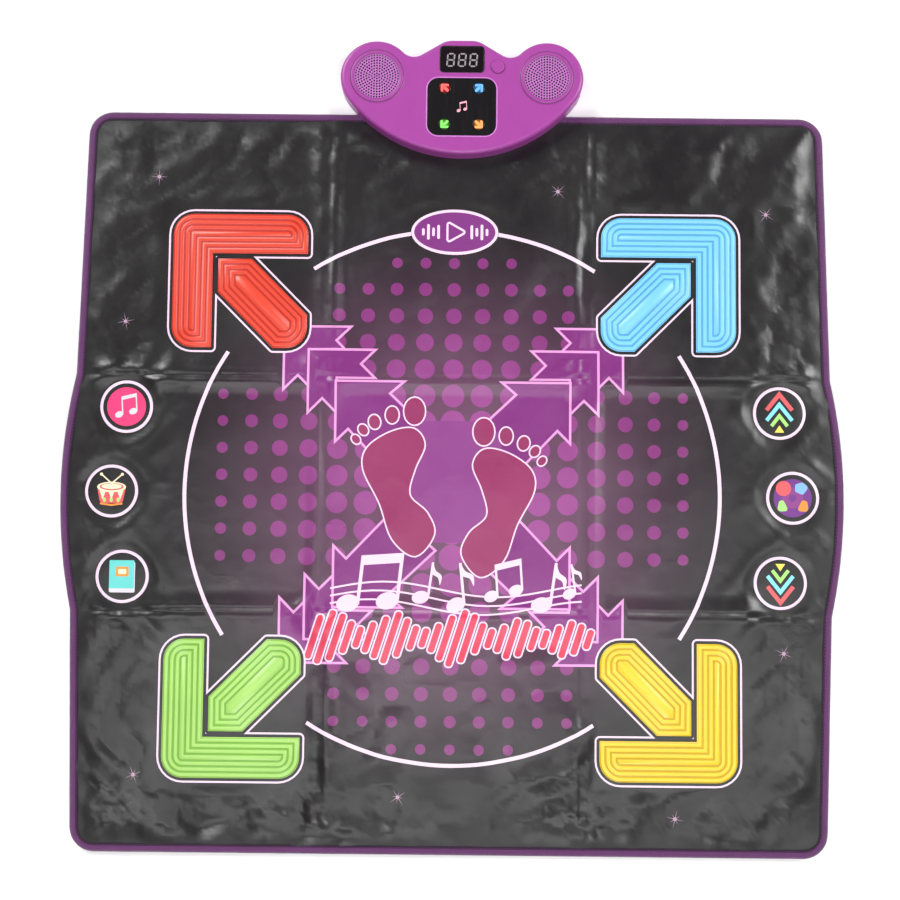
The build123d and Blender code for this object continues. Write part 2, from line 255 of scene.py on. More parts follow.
def printed_mesh(outline, holes, inks, step, creases=(), lines=()):
    """Triangles of a flat sheet whose edges follow the print. Inks go on in order."""
    loops = [outline] + list(holes) + [shape for _, shape in inks]
    points, edges, samples = [], [], []
    for loop in loops + list(lines):
        first = len(points)
        points += [Vector(p) for p in loop]
        count = len(loop)
        closed = loop not in lines
        for i in range(count if closed else count - 1):
            edges.append((first + i, first + (i + 1) % count))
            a, b = np.array(loop[i]), np.array(loop[(i + 1) % count])
            parts = int(max(1, np.hypot(*(b - a)) // 0.8))
            samples += [a + (b - a) * k / parts for k in range(parts)]
    border = np.array(outline)
    low, high = border.min(0), border.max(0)
    xs = np.array(grid_lines(low[0] + step / 2, high[0], step))
    ys = np.array(grid_lines(low[1] + step / 2, high[1], step, creases))
    grid = np.array(np.meshgrid(xs, ys)).reshape(2, -1).T
    cell = 1.0 if step > 2 else 0.5
    margin = 40
    taken = np.zeros(((high - low) / cell + 2 * margin).astype(int), bool)
    at = ((np.array(samples) - low) / cell + margin).astype(int)
    for dx in (-1, 0, 1):
        for dy in (-1, 0, 1):
            taken[at[:, 0] + dx, at[:, 1] + dy] = True
    spot = ((grid - low) / cell + margin).astype(int)
    keep = inside(grid, outline) & ~taken[spot[:, 0], spot[:, 1]]
    for hole in holes:
        keep &= ~inside(grid, hole)
    points += [Vector(p) for p in grid[keep]]
    made = delaunay_2d_cdt(points, edges, [], 0, 1e-4)
    flat = np.array([tuple(v) for v in made[0]])
    faces = np.array(made[2])
    middles = flat[faces].mean(1)
    good = inside(middles, outline)
    for hole in holes:
        good &= ~inside(middles, hole)
    faces, middles = faces[good], middles[good]
    ink = np.zeros(len(faces), int)
    for number, shape in inks:
        ink[inside(middles, shape)] = number
    return flat, faces, middles, ink


def build(name, points, faces, ink, materials, normals=None):
    """A mesh object in metres, with the place of every point kept in an attribute."""
    used, faces = np.unique(faces, return_inverse=True)
    faces = faces.reshape(-1, 3)
    points = np.asarray(points)[used] * MM
    mesh = bpy.data.meshes.new(name)
    mesh.from_pydata(points.tolist(), [], faces.tolist())
    for material in materials:
        mesh.materials.append(material)
    mesh.polygons.foreach_set("material_index", np.asarray(ink, np.int32))
    mesh.polygons.foreach_set("use_smooth", np.full(len(faces), True))
    bm = bmesh.new()
    bm.from_mesh(mesh)
    for edge in bm.edges:
        edge.smooth = len(edge.link_faces) == 2
    bm.to_mesh(mesh)
    bm.free()
    if normals is not None:
        mesh.normals_split_custom_set_from_vertices(normals[used].tolist())
    return placed(name, mesh)


def placed(name, mesh):
    """The mesh as an object of the scene, with its resting place as an attribute."""
    place = mesh.attributes.get("rest") or mesh.attributes.new("rest", "FLOAT_VECTOR", "POINT")
    spots = np.zeros(len(mesh.vertices) * 3, np.float32)
    mesh.vertices.foreach_get("co", spots)
    place.data.foreach_set("vector", spots)
    mesh.update()
    return linked(name, mesh)


def thicken(obj, thickness, offset=-1):
    wall = obj.modifiers.new("thickness", "SOLIDIFY")
    wall.thickness = thickness * MM
    wall.offset = offset
    wall.use_even_offset = False
    return obj


def from_bmesh(name, bm, materials, smooth=40):
    """Merge doubles, turn the faces outwards, and shade smooth below an angle."""
    bmesh.ops.remove_doubles(bm, verts=bm.verts, dist=1e-6)
    bmesh.ops.recalc_face_normals(bm, faces=bm.faces)
    for face in bm.faces:
        face.smooth = True
    for edge in bm.edges:
        edge.smooth = len(edge.link_faces) == 2 and edge.calc_face_angle(0) < radians(smooth)
    mesh = bpy.data.meshes.new(name)
    bm.to_mesh(mesh)
    bm.free()
    for material in materials:
        mesh.materials.append(material)
    return placed(name, mesh)


def plate(name, loops, low, high, edge, material, body):
    """A flat moulded shape between two heights, with a rounded edge and any holes."""
    curve = bpy.data.curves.new(name, "CURVE")
    curve.dimensions = "2D"
    curve.fill_mode = "BOTH"
    for loop in loops:
        spline = curve.splines.new("POLY")
        spline.points.add(len(loop) - 1)
        for point, (x, y) in zip(spline.points, loop):
            point.co = (x * MM, y * MM, 0, 1)
        spline.use_cyclic_u = True
    curve.extrude = ((high - low) / 2 - edge) * MM
    curve.bevel_depth = edge * MM
    curve.bevel_resolution = 2
    curve.offset = -edge * MM
    temporary = bpy.data.objects.new(name, curve)
    mesh = bpy.data.meshes.new_from_object(temporary)
    bpy.data.objects.remove(temporary)
    mesh.transform(Matrix.Translation((0, 0, (low + high) / 2 * MM)))
    bm = bmesh.new()
    bm.from_mesh(mesh)
    obj = from_bmesh(name, bm, [material])
    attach(obj, body)
    return obj


# ---- Materials ----
def tone(red, green, blue):
    """A matched colour, turned into linear light."""
    channels = (red, green, blue)
    return tuple(c / 12.92 if c <= 0.04045 else ((c + 0.055) / 1.055) ** 2.4 for c in channels) + (1.0,)


def node(tree, kind, inputs=None, **settings):
    made = tree.nodes.new(kind)
    for key, value in settings.items():
        setattr(made, key, value)
    for key, value in (inputs or {}).items():
        if isinstance(value, bpy.types.NodeSocket):
            tree.links.new(value, made.inputs[key])
        else:
            made.inputs[key].default_value = value
    return made


def noise_node(tree, place, scale, detail=2.0, roughness=0.5):
    inputs = {"Vector": place, "Scale": scale, "Detail": detail, "Roughness": roughness}
    return node(tree, "ShaderNodeTexNoise", inputs).outputs


def maths(tree, operation, *values):
    """One step of arithmetic, as a node."""
    return node(tree, "ShaderNodeMath", dict(enumerate(values)), operation=operation).outputs[0]


def vector_maths(tree, operation, *values):
    made = node(tree, "ShaderNodeVectorMath", dict(enumerate(values)), operation=operation)
    return made.outputs["Value" if operation == "LENGTH" else "Vector"]


def node_group(name, inputs, outputs):
    tree = bpy.data.node_groups.new(name, "ShaderNodeTree")
    for label, kind, value in inputs:
        socket = tree.interface.new_socket(label, in_out="INPUT", socket_type="NodeSocket" + kind)
        if value is not None:
            socket.default_value = value
    for label, kind in outputs:
        tree.interface.new_socket(label, in_out="OUTPUT", socket_type="NodeSocket" + kind)
    return tree, node(tree, "NodeGroupInput"), node(tree, "NodeGroupOutput")


def make_mottle():
    """Soft uneven colour: large faded patches and small specks."""
    inputs = [("Place", "Vector", None), ("Colour", "Color", None), ("Size", "Float", 12.0),
              ("Amount", "Float", 0.15)]
    tree, source, out = node_group("mottle", inputs, [("Colour", "Color")])
    patch = noise_node(tree, source.outputs["Place"], source.outputs["Size"], 5.0, 0.6)
    centred = maths(tree, "SUBTRACT", patch["Fac"], 0.5)
    scaled = maths(tree, "MULTIPLY", centred, source.outputs["Amount"])
    value = maths(tree, "MULTIPLY_ADD", scaled, 2.0, 1.0)
    shade = node(tree, "ShaderNodeHueSaturation", {"Color": source.outputs["Colour"], "Value": value})
    tree.links.new(shade.outputs["Color"], out.inputs["Colour"])
    return tree


def make_vinyl_skin():
    """Calendered vinyl: a fine pebble, little creases, and cloudy gloss."""
    tree, source, out = node_group("vinyl_skin", [("Place", "Vector", None), ("Crease", "Float", 1.0)],
                                   [("Height", "Float"), ("Gloss", "Float")])
    place = source.outputs["Place"]
    pebble = noise_node(tree, place, 900.0)
    warp = noise_node(tree, place, 14.0, 3.0)
    bent = vector_maths(tree, "MULTIPLY", warp["Color"], (0.05, 0.05, 0.05))
    shifted = vector_maths(tree, "ADD", place, bent)
    facets_node = node(tree, "ShaderNodeTexVoronoi", {"Vector": shifted, "Scale": 26.0}, feature="F1")
    fine = noise_node(tree, shifted, 60.0, 3.0)
    both = maths(tree, "MULTIPLY_ADD", fine["Fac"], 0.35, facets_node.outputs["Distance"])
    creases = maths(tree, "MULTIPLY", both, source.outputs["Crease"])
    height = maths(tree, "MULTIPLY_ADD", pebble["Fac"], 0.02, creases)
    cloud = noise_node(tree, place, 9.0, 6.0, 0.65)
    tree.links.new(height, out.inputs["Height"])
    tree.links.new(cloud["Fac"], out.inputs["Gloss"])
    return tree


def make_moulding():
    """Moulded plastic: a fine spark-eroded grain and a few rubbed streaks."""
    tree, source, out = node_group("moulding", [("Place", "Vector", None), ("Grain", "Float", 1400.0)],
                                   [("Height", "Float"), ("Wear", "Float")])
    place = source.outputs["Place"]
    grain = noise_node(tree, place, source.outputs["Grain"], 3.0)
    flow = noise_node(tree, place, 22.0, 3.0)
    height = maths(tree, "MULTIPLY_ADD", flow["Fac"], 2.0, grain["Fac"])
    streaks = {"Vector": place, "Rotation": (0.2, 0.1, 0.6), "Scale": (220.0, 18.0, 60.0)}
    stretch = node(tree, "ShaderNodeMapping", streaks)
    rubs = noise_node(tree, stretch.outputs[0], 1.0, 4.0, 0.7)
    tree.links.new(height, out.inputs["Height"])
    tree.links.new(rubs["Fac"], out.inputs["Wear"])
    return tree


def make_weave():
    """A close plain weave, worked out from two crossing waves."""
    tree, source, out = node_group("weave", [("Place", "Vector", None), ("Threads", "Float", 900.0)],
                                   [("Height", "Float")])
    place = source.outputs["Place"]
    wave = {"Vector": place, "Scale": source.outputs["Threads"], "Distortion": 0.6}
    bands = [node(tree, "ShaderNodeTexWave", wave, bands_direction=way).outputs["Fac"] for way in ("X", "Y")]
    cross = maths(tree, "MAXIMUM", *bands)
    fuzz = noise_node(tree, place, 400.0, 4.0)
    height = maths(tree, "MULTIPLY_ADD", fuzz["Fac"], 0.6, cross)
    tree.links.new(height, out.inputs["Height"])
    return tree


mottle, vinyl_skin, moulding, weave = make_mottle(), make_vinyl_skin(), make_moulding(), make_weave()


class Finish:
    """A material under construction: its tree, where its pattern is read, and its shader."""

    def __init__(self, name, follows_cloth=False):
        self.material = bpy.data.materials.new(name)
        self.material.use_nodes = True
        self.tree = self.material.node_tree
        self.shader = self.tree.nodes["Principled BSDF"]
        if follows_cloth:
            self.place = node(self.tree, "ShaderNodeAttribute", attribute_name="rest").outputs["Vector"]
        else:
            self.place = node(self.tree, "ShaderNodeTexCoord").outputs["Object"]

    def use(self, group, **values):
        return node(self.tree, "ShaderNodeGroup", {"Place": self.place, **values}, node_tree=group)

    def colour(self, value, size=12.0, amount=0.15):
        made = self.use(mottle, Colour=value, Size=size, Amount=amount)
        self.tree.links.new(made.outputs["Colour"], self.shader.inputs["Base Color"])
        return made

    def bump(self, height, distance, strength=1.0):
        inputs = {"Height": height, "Distance": distance, "Strength": strength}
        made = node(self.tree, "ShaderNodeBump", inputs)
        self.tree.links.new(made.outputs["Normal"], self.shader.inputs["Normal"])

    def roughness(self, mask, low, high):
        made = node(self.tree, "ShaderNodeMapRange", {"Value": mask, "From Min": 0.3, "From Max": 0.7,
                                                      "To Min": low, "To Max": high})
        self.tree.links.new(made.outputs["Result"], self.shader.inputs["Roughness"])

    def set(self, **values):
        for key, value in values.items():
            self.shader.inputs[key.replace("_", " ")].default_value = value
        return self.material


def radial(finish, centre, inner, outer):
    """A mask that falls from 1 to 0 between two radii about a point of the mat."""
    away = vector_maths(finish.tree, "SUBTRACT", finish.place, centre)
    flat = vector_maths(finish.tree, "MULTIPLY", away, (1, 1, 0))
    length = vector_maths(finish.tree, "LENGTH", flat)
    reach = {"Value": length, "From Min": inner, "From Max": outer, "To Min": 1.0, "To Max": 0.0}
    mask = node(finish.tree, "ShaderNodeMapRange", reach, interpolation_type="SMOOTHSTEP")
    return mask.outputs["Result"]


def mixed(finish, mask, a, b):
    made = node(finish.tree, "ShaderNodeMix", {0: mask}, data_type="RGBA")
    made.inputs[6].default_value, made.inputs[7].default_value = a, b
    return made.outputs[2]


def vinyl(name, colour, glow=None, crease=1.0, gloss=(0.26, 0.42), depth=0.0006):
    """Printed glossy vinyl. Glow is a second colour towards the middle of the print."""
    finish = Finish(name, follows_cloth=True)
    if glow:
        colour_b, inner, outer = glow
        mask = radial(finish, (0, print_y * MM, 0), inner, outer)
        finish.colour(mixed(finish, mask, colour, colour_b), 10.0, 0.22)
    else:
        finish.colour(colour, 10.0, 0.12)
    skin_marks = finish.use(vinyl_skin, Crease=crease)
    finish.roughness(skin_marks.outputs["Gloss"], *gloss)
    finish.bump(skin_marks.outputs["Height"], depth)
    return finish.set(Specular_IOR_Level=0.6)


def moulded(name, colour, roughness=(0.28, 0.4), depth=0.00004, grain=1400.0, amount=0.08, **values):
    """Injection moulded plastic, metal or lacquer with a fine grain."""
    finish = Finish(name)
    finish.colour(colour, 30.0, amount)
    grain_marks = finish.use(moulding, Grain=grain)
    finish.roughness(grain_marks.outputs["Wear"], *roughness)
    finish.bump(grain_marks.outputs["Height"], depth)
    return finish.set(**values)


def cloth(name, colour, threads=900.0, depth=0.00025, follows=True, **values):
    finish = Finish(name, follows_cloth=follows)
    finish.colour(colour, 18.0, 0.25)
    threads_marks = finish.use(weave, Threads=threads)
    finish.bump(threads_marks.outputs["Height"], depth)
    return finish.set(**values)


inks = [
    vinyl("black_vinyl_print", tone(0.085, 0.075, 0.083), (tone(0.40, 0.25, 0.36), 0.05, 0.37)),
    vinyl("dot_ink", tone(0.48, 0.17, 0.43), (tone(0.58, 0.28, 0.54), 0.03, 0.30)),
    vinyl("white_ink", tone(0.90, 0.79, 0.87)),
    vinyl("ribbon_ink", tone(0.47, 0.15, 0.45)),
    vinyl("foot_ink", tone(0.55, 0.17, 0.36)),
    vinyl("red_ink", tone(0.80, 0.22, 0.33)),
    vinyl("black_ink", tone(0.09, 0.08, 0.09)),
    vinyl("ribbon_line_ink", tone(0.86, 0.58, 0.80)),
    vinyl("start_ink", tone(0.47, 0.18, 0.47), crease=0.3),
    vinyl("pink_ink", tone(0.93, 0.22, 0.45)),
    vinyl("silver_ink", tone(0.82, 0.80, 0.83)),
    vinyl("teal_ink", tone(0.38, 0.78, 0.76)),
    vinyl("orange_ink", tone(0.90, 0.55, 0.20)),
    vinyl("yellow_ink", tone(0.96, 0.87, 0.35)),
    vinyl("green_ink", tone(0.62, 0.85, 0.45)),
    vinyl("cyan_ink", tone(0.50, 0.84, 0.92)),
    vinyl("coral_ink", tone(0.86, 0.34, 0.36)),
    vinyl("cream_ink", tone(0.96, 0.88, 0.74)),
    vinyl("violet_ink", tone(0.42, 0.18, 0.50)),
    vinyl("sky_ink", tone(0.48, 0.68, 0.95)),
    vinyl("faint_spark_ink", tone(0.66, 0.52, 0.62)),
    vinyl("solid_purple_ink", tone(0.52, 0.23, 0.50)),
]
(BLACK, DOT, WHITE, RIBBON, FOOT, RED, SOLID_BLACK, RIBBON_LINE, START, PINK, SILVER, TEAL, ORANGE, YELLOW,
 GREEN, CYAN, CORAL, CREAM, VIOLET, SKY, SPARK, PURPLE) = range(len(inks))


# ---- The print of the mat ----
def dots():
    """Rows of dots that grow towards the middle, inside a broad cross."""
    shapes = []
    for row in range(19):
        y = 292 - 33.7 * row
        reach = 2 if row in (0, 18) else 4 if row < 5 or row > 11 else 8
        for column in range(-reach, reach + 1):
            x = 36 * column
            diameter = max(39 - 0.085 * hypot(x, y), 13)
            shapes.append((DOT, ellipse(x, y, diameter / 2, steps=20)))
    return shapes


def sparkles():
    places = [(-375, 399), (-413, 214), (-389, -349), (-63, -373), (130, 385), (393, 358), (413, -193),
              (278, -396)]
    shapes = []
    for number, (x, y) in enumerate(places):
        shapes.append((WHITE, ellipse(x, y, 2.0, steps=10)))
        for ray in range(8):
            angle = ray * 45 + 11 * number
            reach = 12 if ray % 2 == 0 else 7.5
            shapes.append((SPARK, moved([(0, -0.45), (reach, 0), (0, 0.45)], x, y, turn=angle)))
    return shapes


def ring():
    shapes = []
    for quarter in (0, 90, 180, 270):
        angles = [radians(quarter - 32 + 2 * k) for k in range(33)]
        shapes.append((WHITE, stroke([(334 * cos(a), 334 * sin(a)) for a in angles], 2.4)))
    return shapes


def ribbons():
    """Folded banners in each corner of the middle, the inner ones on top."""
    shapes = []
    width, notch = 36, 18
    for corner, across, down in (((213, 210), 84, 80), ((182, 181), 84, 80)):
        x, y = corner
        banner = [(x, y), (x - across, y), (x - across + notch, y - width / 2), (x - across, y - width),
                  (x - width, y - width), (x - width, y - down), (x - width / 2, y - down + notch),
                  (x, y - down)]
        for sx, sy in corners_of_print.values():
            loop = moved(banner, sx=sx, sy=sy)
            shapes += [(RIBBON_LINE, grown(loop, 1.5)), (RIBBON, grown(loop, -1.5))]
    flag = [(147, 141), (61, 141), (79, 126), (20, 70), (75, 22), (131, 81), (147, 65)]
    for sx, sy in corners_of_print.values():
        loop = moved(flag, sx=sx, sy=sy)
        shapes += [(RIBBON_LINE, grown(loop, 1.5)), (RIBBON, grown(loop, -1.5))]
    shapes.append((PURPLE, rounded([(-72, -60, 30), (72, -60, 30), (58, 92, 30), (-58, 92, 30)])))
    return shapes


def feet():
    sole = smooth_loop([(-107, 57), (-79, 77), (-49, 82), (-35, 62), (-47, 31), (-53, -1), (-31, -23),
                        (-22, -50), (-45, -77), (-74, -56), (-90, -12), (-111, 30)])
    toes = [(-48, 104, 13, 17, 0), (-76, 99, 8, 10.5, 0), (-98, 90, 7, 8.7, 12), (-112, 80, 5.5, 7, 35),
            (-121, 68, 4.5, 6, 40)]
    shapes = []
    for sx, x, y in ((1, 0, 0), (-1, -9, -25)):
        loops = [sole] + [ellipse(cx, cy, rx, ry, turn, 20) for cx, cy, rx, ry, turn in toes]
        for loop in loops:
            loop = moved(loop, x, y, sx)
            shapes += [(WHITE, grown(loop, 1.8)), (FOOT, loop)]
    return shapes


def staff():
    """A flowing white stave with notes on it, and a red row of sound bars under it."""
    shapes = []
    for line in range(3):
        path = [(-150 + 13 * k, -118 - 11 * line + 9 * sin(0.3 * k + 0.2 * line)) for k in range(25)]
        shapes.append((WHITE, stroke(path, 1.1)))
    drawn = paired_notes(-128, -136, 42, -6) + note(-38, -128, 30, -8) + note(6, -137, 34, 6)
    drawn += paired_notes(50, -126, 27, 4) + note(112, -136, 36, -8) + note(147, -122, 24, 8)
    shapes += [(WHITE, shape) for shape in drawn]
    heights = [54, 66, 58, 40, 26, 38, 52, 64, 48, 30, 24, 36, 56, 70, 60, 38, 24, 34, 50, 44, 28, 22, 34,
               46, 38, 24]
    bars = []
    for number, height in enumerate(heights):
        x, y = -169 + 13.6 * number, -178
        lean = 0.16 * height
        bar = [(x - 4.2 - lean, y - height / 2, 3.5), (x + 4.2 - lean, y - height / 2, 3.5),
               (x + 4.2 + lean, y + height / 2, 3.5), (x - 4.2 + lean, y + height / 2, 3.5)]
        bars.append(bar)
    shapes += [(WHITE, rounded(bar, 1.9)) for bar in bars]
    shapes += [(RED, rounded(bar)) for bar in bars]
    return shapes


def arrow_borders():
    shapes = []
    for grow, ink in ((6, WHITE), (3.7, SOLID_BLACK)):
        for sx, sy in corners_of_print.values():
            for corners in (head_corners, stem_corners):
                eased = [(x, y, radius or 0.5) for x, y, radius in corners]
                shapes.append((ink, moved(rounded(eased, grow), sx=sx, sy=sy)))
    return shapes


def lowered(shapes, x=0, y=print_y):
    """Shapes drawn about the print's centre, moved to their place on the mat."""
    return [(ink, [(px + x, py + y) for px, py in shape]) for ink, shape in shapes]


pad_gap = 0.5
pad_holes = {"top": [], "middle": [], "bottom": []}
for sx, sy in corners_of_print.values():
    for corners in (head_corners, stem_corners):
        hole = moved(rounded(corners, pad_gap), 0, print_y, sx, sy)
        pad_holes["top" if sy > 0 else "bottom"].append(hole)
pad_holes["top"].append(ellipse(*start_centre, *(size / 2 + pad_gap for size in start_size), steps=56))
side_centres = {}
for name, sx in (("left", -1), ("right", 1)):
    side_centres[f"{name}_pad_upper"] = (sx * 409, print_y + 106)
    side_centres[f"{name}_pad_middle"] = (sx * 425, print_y)
    side_centres[f"{name}_pad_lower"] = (sx * 409, print_y - 106)
pad_holes["middle"] += [ellipse(x, y, side_radius + pad_gap, steps=40) for x, y in side_centres.values()]
all_holes = pad_holes["top"] + pad_holes["middle"] + pad_holes["bottom"]


# ---- Wrinkles of the top sheet ----
def ramp(value, low, high):
    t = min(max((value - low) / (high - low), 0.0), 1.0)
    return t * t * (3 - 2 * t)


def edge_distance(x, y):
    """How far inside the mat's border a place is."""
    if abs(y - print_y) < row_half:
        width = bow_centre + sqrt(bow_radius**2 - (y - print_y) ** 2)
    else:
        width = half_width + 8 * (half_length - abs(y)) / 335
    return min(width - abs(x), half_length - abs(y))


def console_distance(x, y):
    x -= console_x
    away = [hypot(x, y - belly_y) - belly_radius]
    away += [hypot(x - s * ear_x, y - ear_y) - ear_radius for s in (-1, 1)]
    return min(away)


def looseness(x, y):
    """1 where the vinyl is free to rise, 0 where something holds it flat."""
    py = y - print_y
    square = max(abs(abs(x) - 270) - 85, abs(abs(py) - 267) - 85)
    oval = (hypot(x / 55, (y - start_centre[1]) / 29) - 1) * 40
    free = ramp(square, 4, 26) * ramp(oval, 3, 25)
    for cx, cy in side_centres.values():
        free *= ramp(hypot(x - cx, y - cy) - side_radius, 1, 16)
    return free * ramp(edge_distance(x, y), 8, 44) * ramp(console_distance(x, y), 2, 22)


def facets(x, y, size, seed, stretch=1.0, turn=0.0):
    """Flat facets with sharp ridges between them, as in crushed film."""
    c, s = cos(turn), sin(turn)
    u, v = (x * c + y * s) / (size * stretch), (-x * s + y * c) / size
    du = 0.7 * noise.noise(Vector((u * 0.9, v * 0.9, seed)))
    dv = 0.7 * noise.noise(Vector((u * 0.9, v * 0.9, seed + 9.0)))
    near = noise.voronoi(Vector((u + du, v + dv, seed)))[0]
    return near[0]


def crushed(x, y):
    """How crumpled the vinyl is: most at the corners, the border and the ends of the creases."""
    side = edge_distance(x, y)
    value = 0.16 + 0.55 * (1 - ramp(side, 20, 110))
    for cy in (crease_top, crease_bottom):
        value += 0.9 * (1 - ramp(abs(y - cy), 8, 55)) * ramp(abs(x), 300, 440)
    for cx in (left_crease, right_crease):
        value += 0.75 * (1 - ramp(abs(x - cx), 6, 40)) * ramp(abs(y - print_y), 150, 400)
        for cy in (crease_top, crease_bottom):
            value += 0.6 * (1 - ramp(hypot(x - cx, y - cy), 15, 70))
    value += 0.6 * (1 - ramp(console_distance(x, y), 5, 70))
    return min(value, 1.3)


def crease(distance, width, depth, lip):
    """A pressed fold: a narrow valley with a soft lip on each side."""
    raised = lip * np.exp(-(((abs(distance) - 2.2 * width) / (1.5 * width)) ** 2))
    return raised - depth * np.exp(-((distance / width) ** 2))


def wrinkle(x, y):
    """Height of the loose vinyl over its lowest place, before it settles, in millimetres."""
    free = looseness(x, y)
    if free <= 0:
        return 0.0
    amount = crushed(x, y) * ramp(abs(x), 0, 50)
    py = y - print_y
    slant = radians(58) * (1 if x > 0 else -1)
    height = 0.7 + broad_folds(x, y) + amount * 2.4 * (0.5 - facets(x, y, 46, 1.3, 1.5, slant))
    height += amount * 1.0 * (0.5 - facets(x, y, 24, 5.2, 1.3, -slant))
    wander = 2.5 * noise.noise(Vector((x / 60, y / 60, 20.0)))
    for cy in (crease_top, crease_bottom):
        height += crease(y - cy + 0.4 * wander, 2.4, 1.5, 0.8)
    for cx, strength in ((left_crease, 1.0), (right_crease, 0.9)):
        height += strength * crease(x - cx + wander, 3.4, 1.3, 1.0)
        height += strength * 0.7 * crease(x - cx - 14 + 2 * wander, 2.6, 0.8, 0.6) * ramp(abs(py), 80, 300)
    return max(height, 0.0) * free


def broad_folds(x, y):
    """Long soft folds that run slantwise across the upper and lower rows."""
    slant = radians(58) * (1 if x > 0 else -1)
    c, s = cos(slant), sin(slant)
    along, across = (x * c + y * s) / 260, (-x * s + y * c) / 58
    broad = noise.noise(Vector((along, across, 3.7))) * ramp(abs(y - print_y), 120, 330) * ramp(abs(x), 0, 60)
    return 1.5 * broad + 0.6 * noise.noise(Vector((x / 75, y / 75, 8.1)))


def crushed_detail(x, y):
    """Facets, fine crumples and pressed creases, for which the settled cloth's grid is too coarse."""
    amount = crushed(x, y) * ramp(abs(x), 0, 50)
    slant = radians(58) * (1 if x > 0 else -1)
    fine = 1.15 * (0.5 - facets(x, y, 21, 5.2, 1.4, -slant)) + 0.3 * (0.5 - facets(x, y, 8, 7.7))
    fine *= 1 + 0.7 * ramp(print_y - y, 100, 240)
    large = 4.2 * (0.5 - facets(x, y, 66, 2.6, 1.3, 0.5)) * ramp(abs(y - print_y), 110, 210)
    large *= 1 + 0.7 * ramp(print_y - y, 120, 260)
    wander = 2.5 * noise.noise(Vector((x / 60, y / 60, 20.0)))
    pressed = sum(crease(y - cy + 0.4 * wander, 3.2, 0.8, 0.5) for cy in (crease_top, crease_bottom))
    pressed += sum(crease(x - cx + wander, 5.0, 0.9, 0.7) for cx in (left_crease, right_crease))
    return looseness(x, y) * (0.9 + amount * fine + large + pressed + 1.3 * broad_folds(x, y))


sim_step = 8.0
sim_scale = 10
sim_frames = 36
cloth_gain = 1.35


def settle():
    """Let loose vinyl buckle and lie down as cloth, held at its border and at every pad."""
    xs = np.arange(-488, 488.1, sim_step)
    ys = np.arange(-464, 464.1, sim_step)
    bm = bmesh.new()
    bmesh.ops.create_grid(bm, x_segments=len(xs) - 1, y_segments=len(ys) - 1, size=1)
    bmesh.ops.scale(bm, vec=(0.488, 0.464, 1), verts=bm.verts)
    for vert in bm.verts:
        vert.co.z = 0.6 * wrinkle(vert.co.x / MM, vert.co.y / MM) * MM
    bmesh.ops.scale(bm, vec=(sim_scale,) * 3, verts=bm.verts)
    mesh = bpy.data.meshes.new("loose_vinyl")
    bm.to_mesh(mesh)
    bm.free()
    vinyl_cloth = linked("loose_vinyl", mesh)
    held = vinyl_cloth.vertex_groups.new(name="held")
    slack = vinyl_cloth.vertex_groups.new(name="slack")
    for vert in mesh.vertices:
        x, y = vert.co.x / sim_scale / MM, vert.co.y / sim_scale / MM
        free = looseness(x, y) if edge_distance(x, y) > 0 else 0
        held.add([vert.index], 1.0 if free < 0.02 else 0.0, "REPLACE")
        slack.add([vert.index], min(crushed(x, y) / 1.3, 1.0), "REPLACE")
    modifier = vinyl_cloth.modifiers.new("cloth", "CLOTH")
    settings = modifier.settings
    settings.quality = 6
    settings.mass = 0.3
    settings.tension_stiffness = settings.compression_stiffness = 25
    settings.shear_stiffness = 12
    settings.bending_stiffness = 0.3
    settings.air_damping = 2
    settings.effector_weights.gravity = 0.5
    settings.vertex_group_mass = "held"
    settings.vertex_group_shrink = "slack"
    settings.shrink_min = -0.006
    settings.shrink_max = -0.035
    modifier.collision_settings.distance_min = 0.004
    modifier.collision_settings.use_self_collision = False
    modifier.point_cache.frame_end = sim_frames
    bm = bmesh.new()
    bmesh.ops.create_grid(bm, x_segments=1, y_segments=1, size=8)
    bmesh.ops.translate(bm, verts=bm.verts, vec=(0, 0, -0.006))
    foam_mesh = bpy.data.meshes.new("foam_top")
    bm.to_mesh(foam_mesh)
    bm.free()
    under = linked("foam_top", foam_mesh)
    under.modifiers.new("collision", "COLLISION")
    under.collision.thickness_outer = 0.004
    for number in range(1, sim_frames + 1):
        scene.frame_set(number)
    settled = vinyl_cloth.evaluated_get(bpy.context.evaluated_depsgraph_get()).to_mesh()
    spots, rest = (np.zeros(len(mesh.vertices) * 3) for _ in range(2))
    settled.vertices.foreach_get("co", spots)
    mesh.vertices.foreach_get("co", rest)
    spots, rest = (v.reshape(-1, 3) / sim_scale / MM for v in (spots, rest))
    columns = np.rint((rest[:, 0] - xs[0]) / sim_step).astype(int)
    rows = np.rint((rest[:, 1] - ys[0]) / sim_step).astype(int)
    heights = np.zeros((len(ys), len(xs)))
    heights[rows, columns] = np.clip(spots[:, 2], 0, 6)
    heights[1:-1] = (heights[:-2] + 2 * heights[1:-1] + heights[2:]) / 4
    heights[:, 1:-1] = (heights[:, :-2] + 2 * heights[:, 1:-1] + heights[:, 2:]) / 4
    for obj in (vinyl_cloth, under):
        bpy.data.objects.remove(obj)
    scene.frame_set(1)
    return heights, xs[0], ys[0]


def cubic(a, b, c, d, t):
    return b + 0.5 * t * (c - a + t * (2 * a - 5 * b + 4 * c - d + t * (3 * (b - c) + d - a)))


def sampled(x, y):
    """The settled height at any place, read smoothly between the cloth's points."""
    heights, x0, y0 = settled_cloth
    u, v = (x - x0) / sim_step, (y - y0) / sim_step
    i = min(max(int(u), 1), heights.shape[1] - 3)
    j = min(max(int(v), 1), heights.shape[0] - 3)
    columns = [cubic(*heights[j - 1:j + 3, i + k], v - j) for k in (-1, 0, 1, 2)]
    return cubic(*columns, u - i)


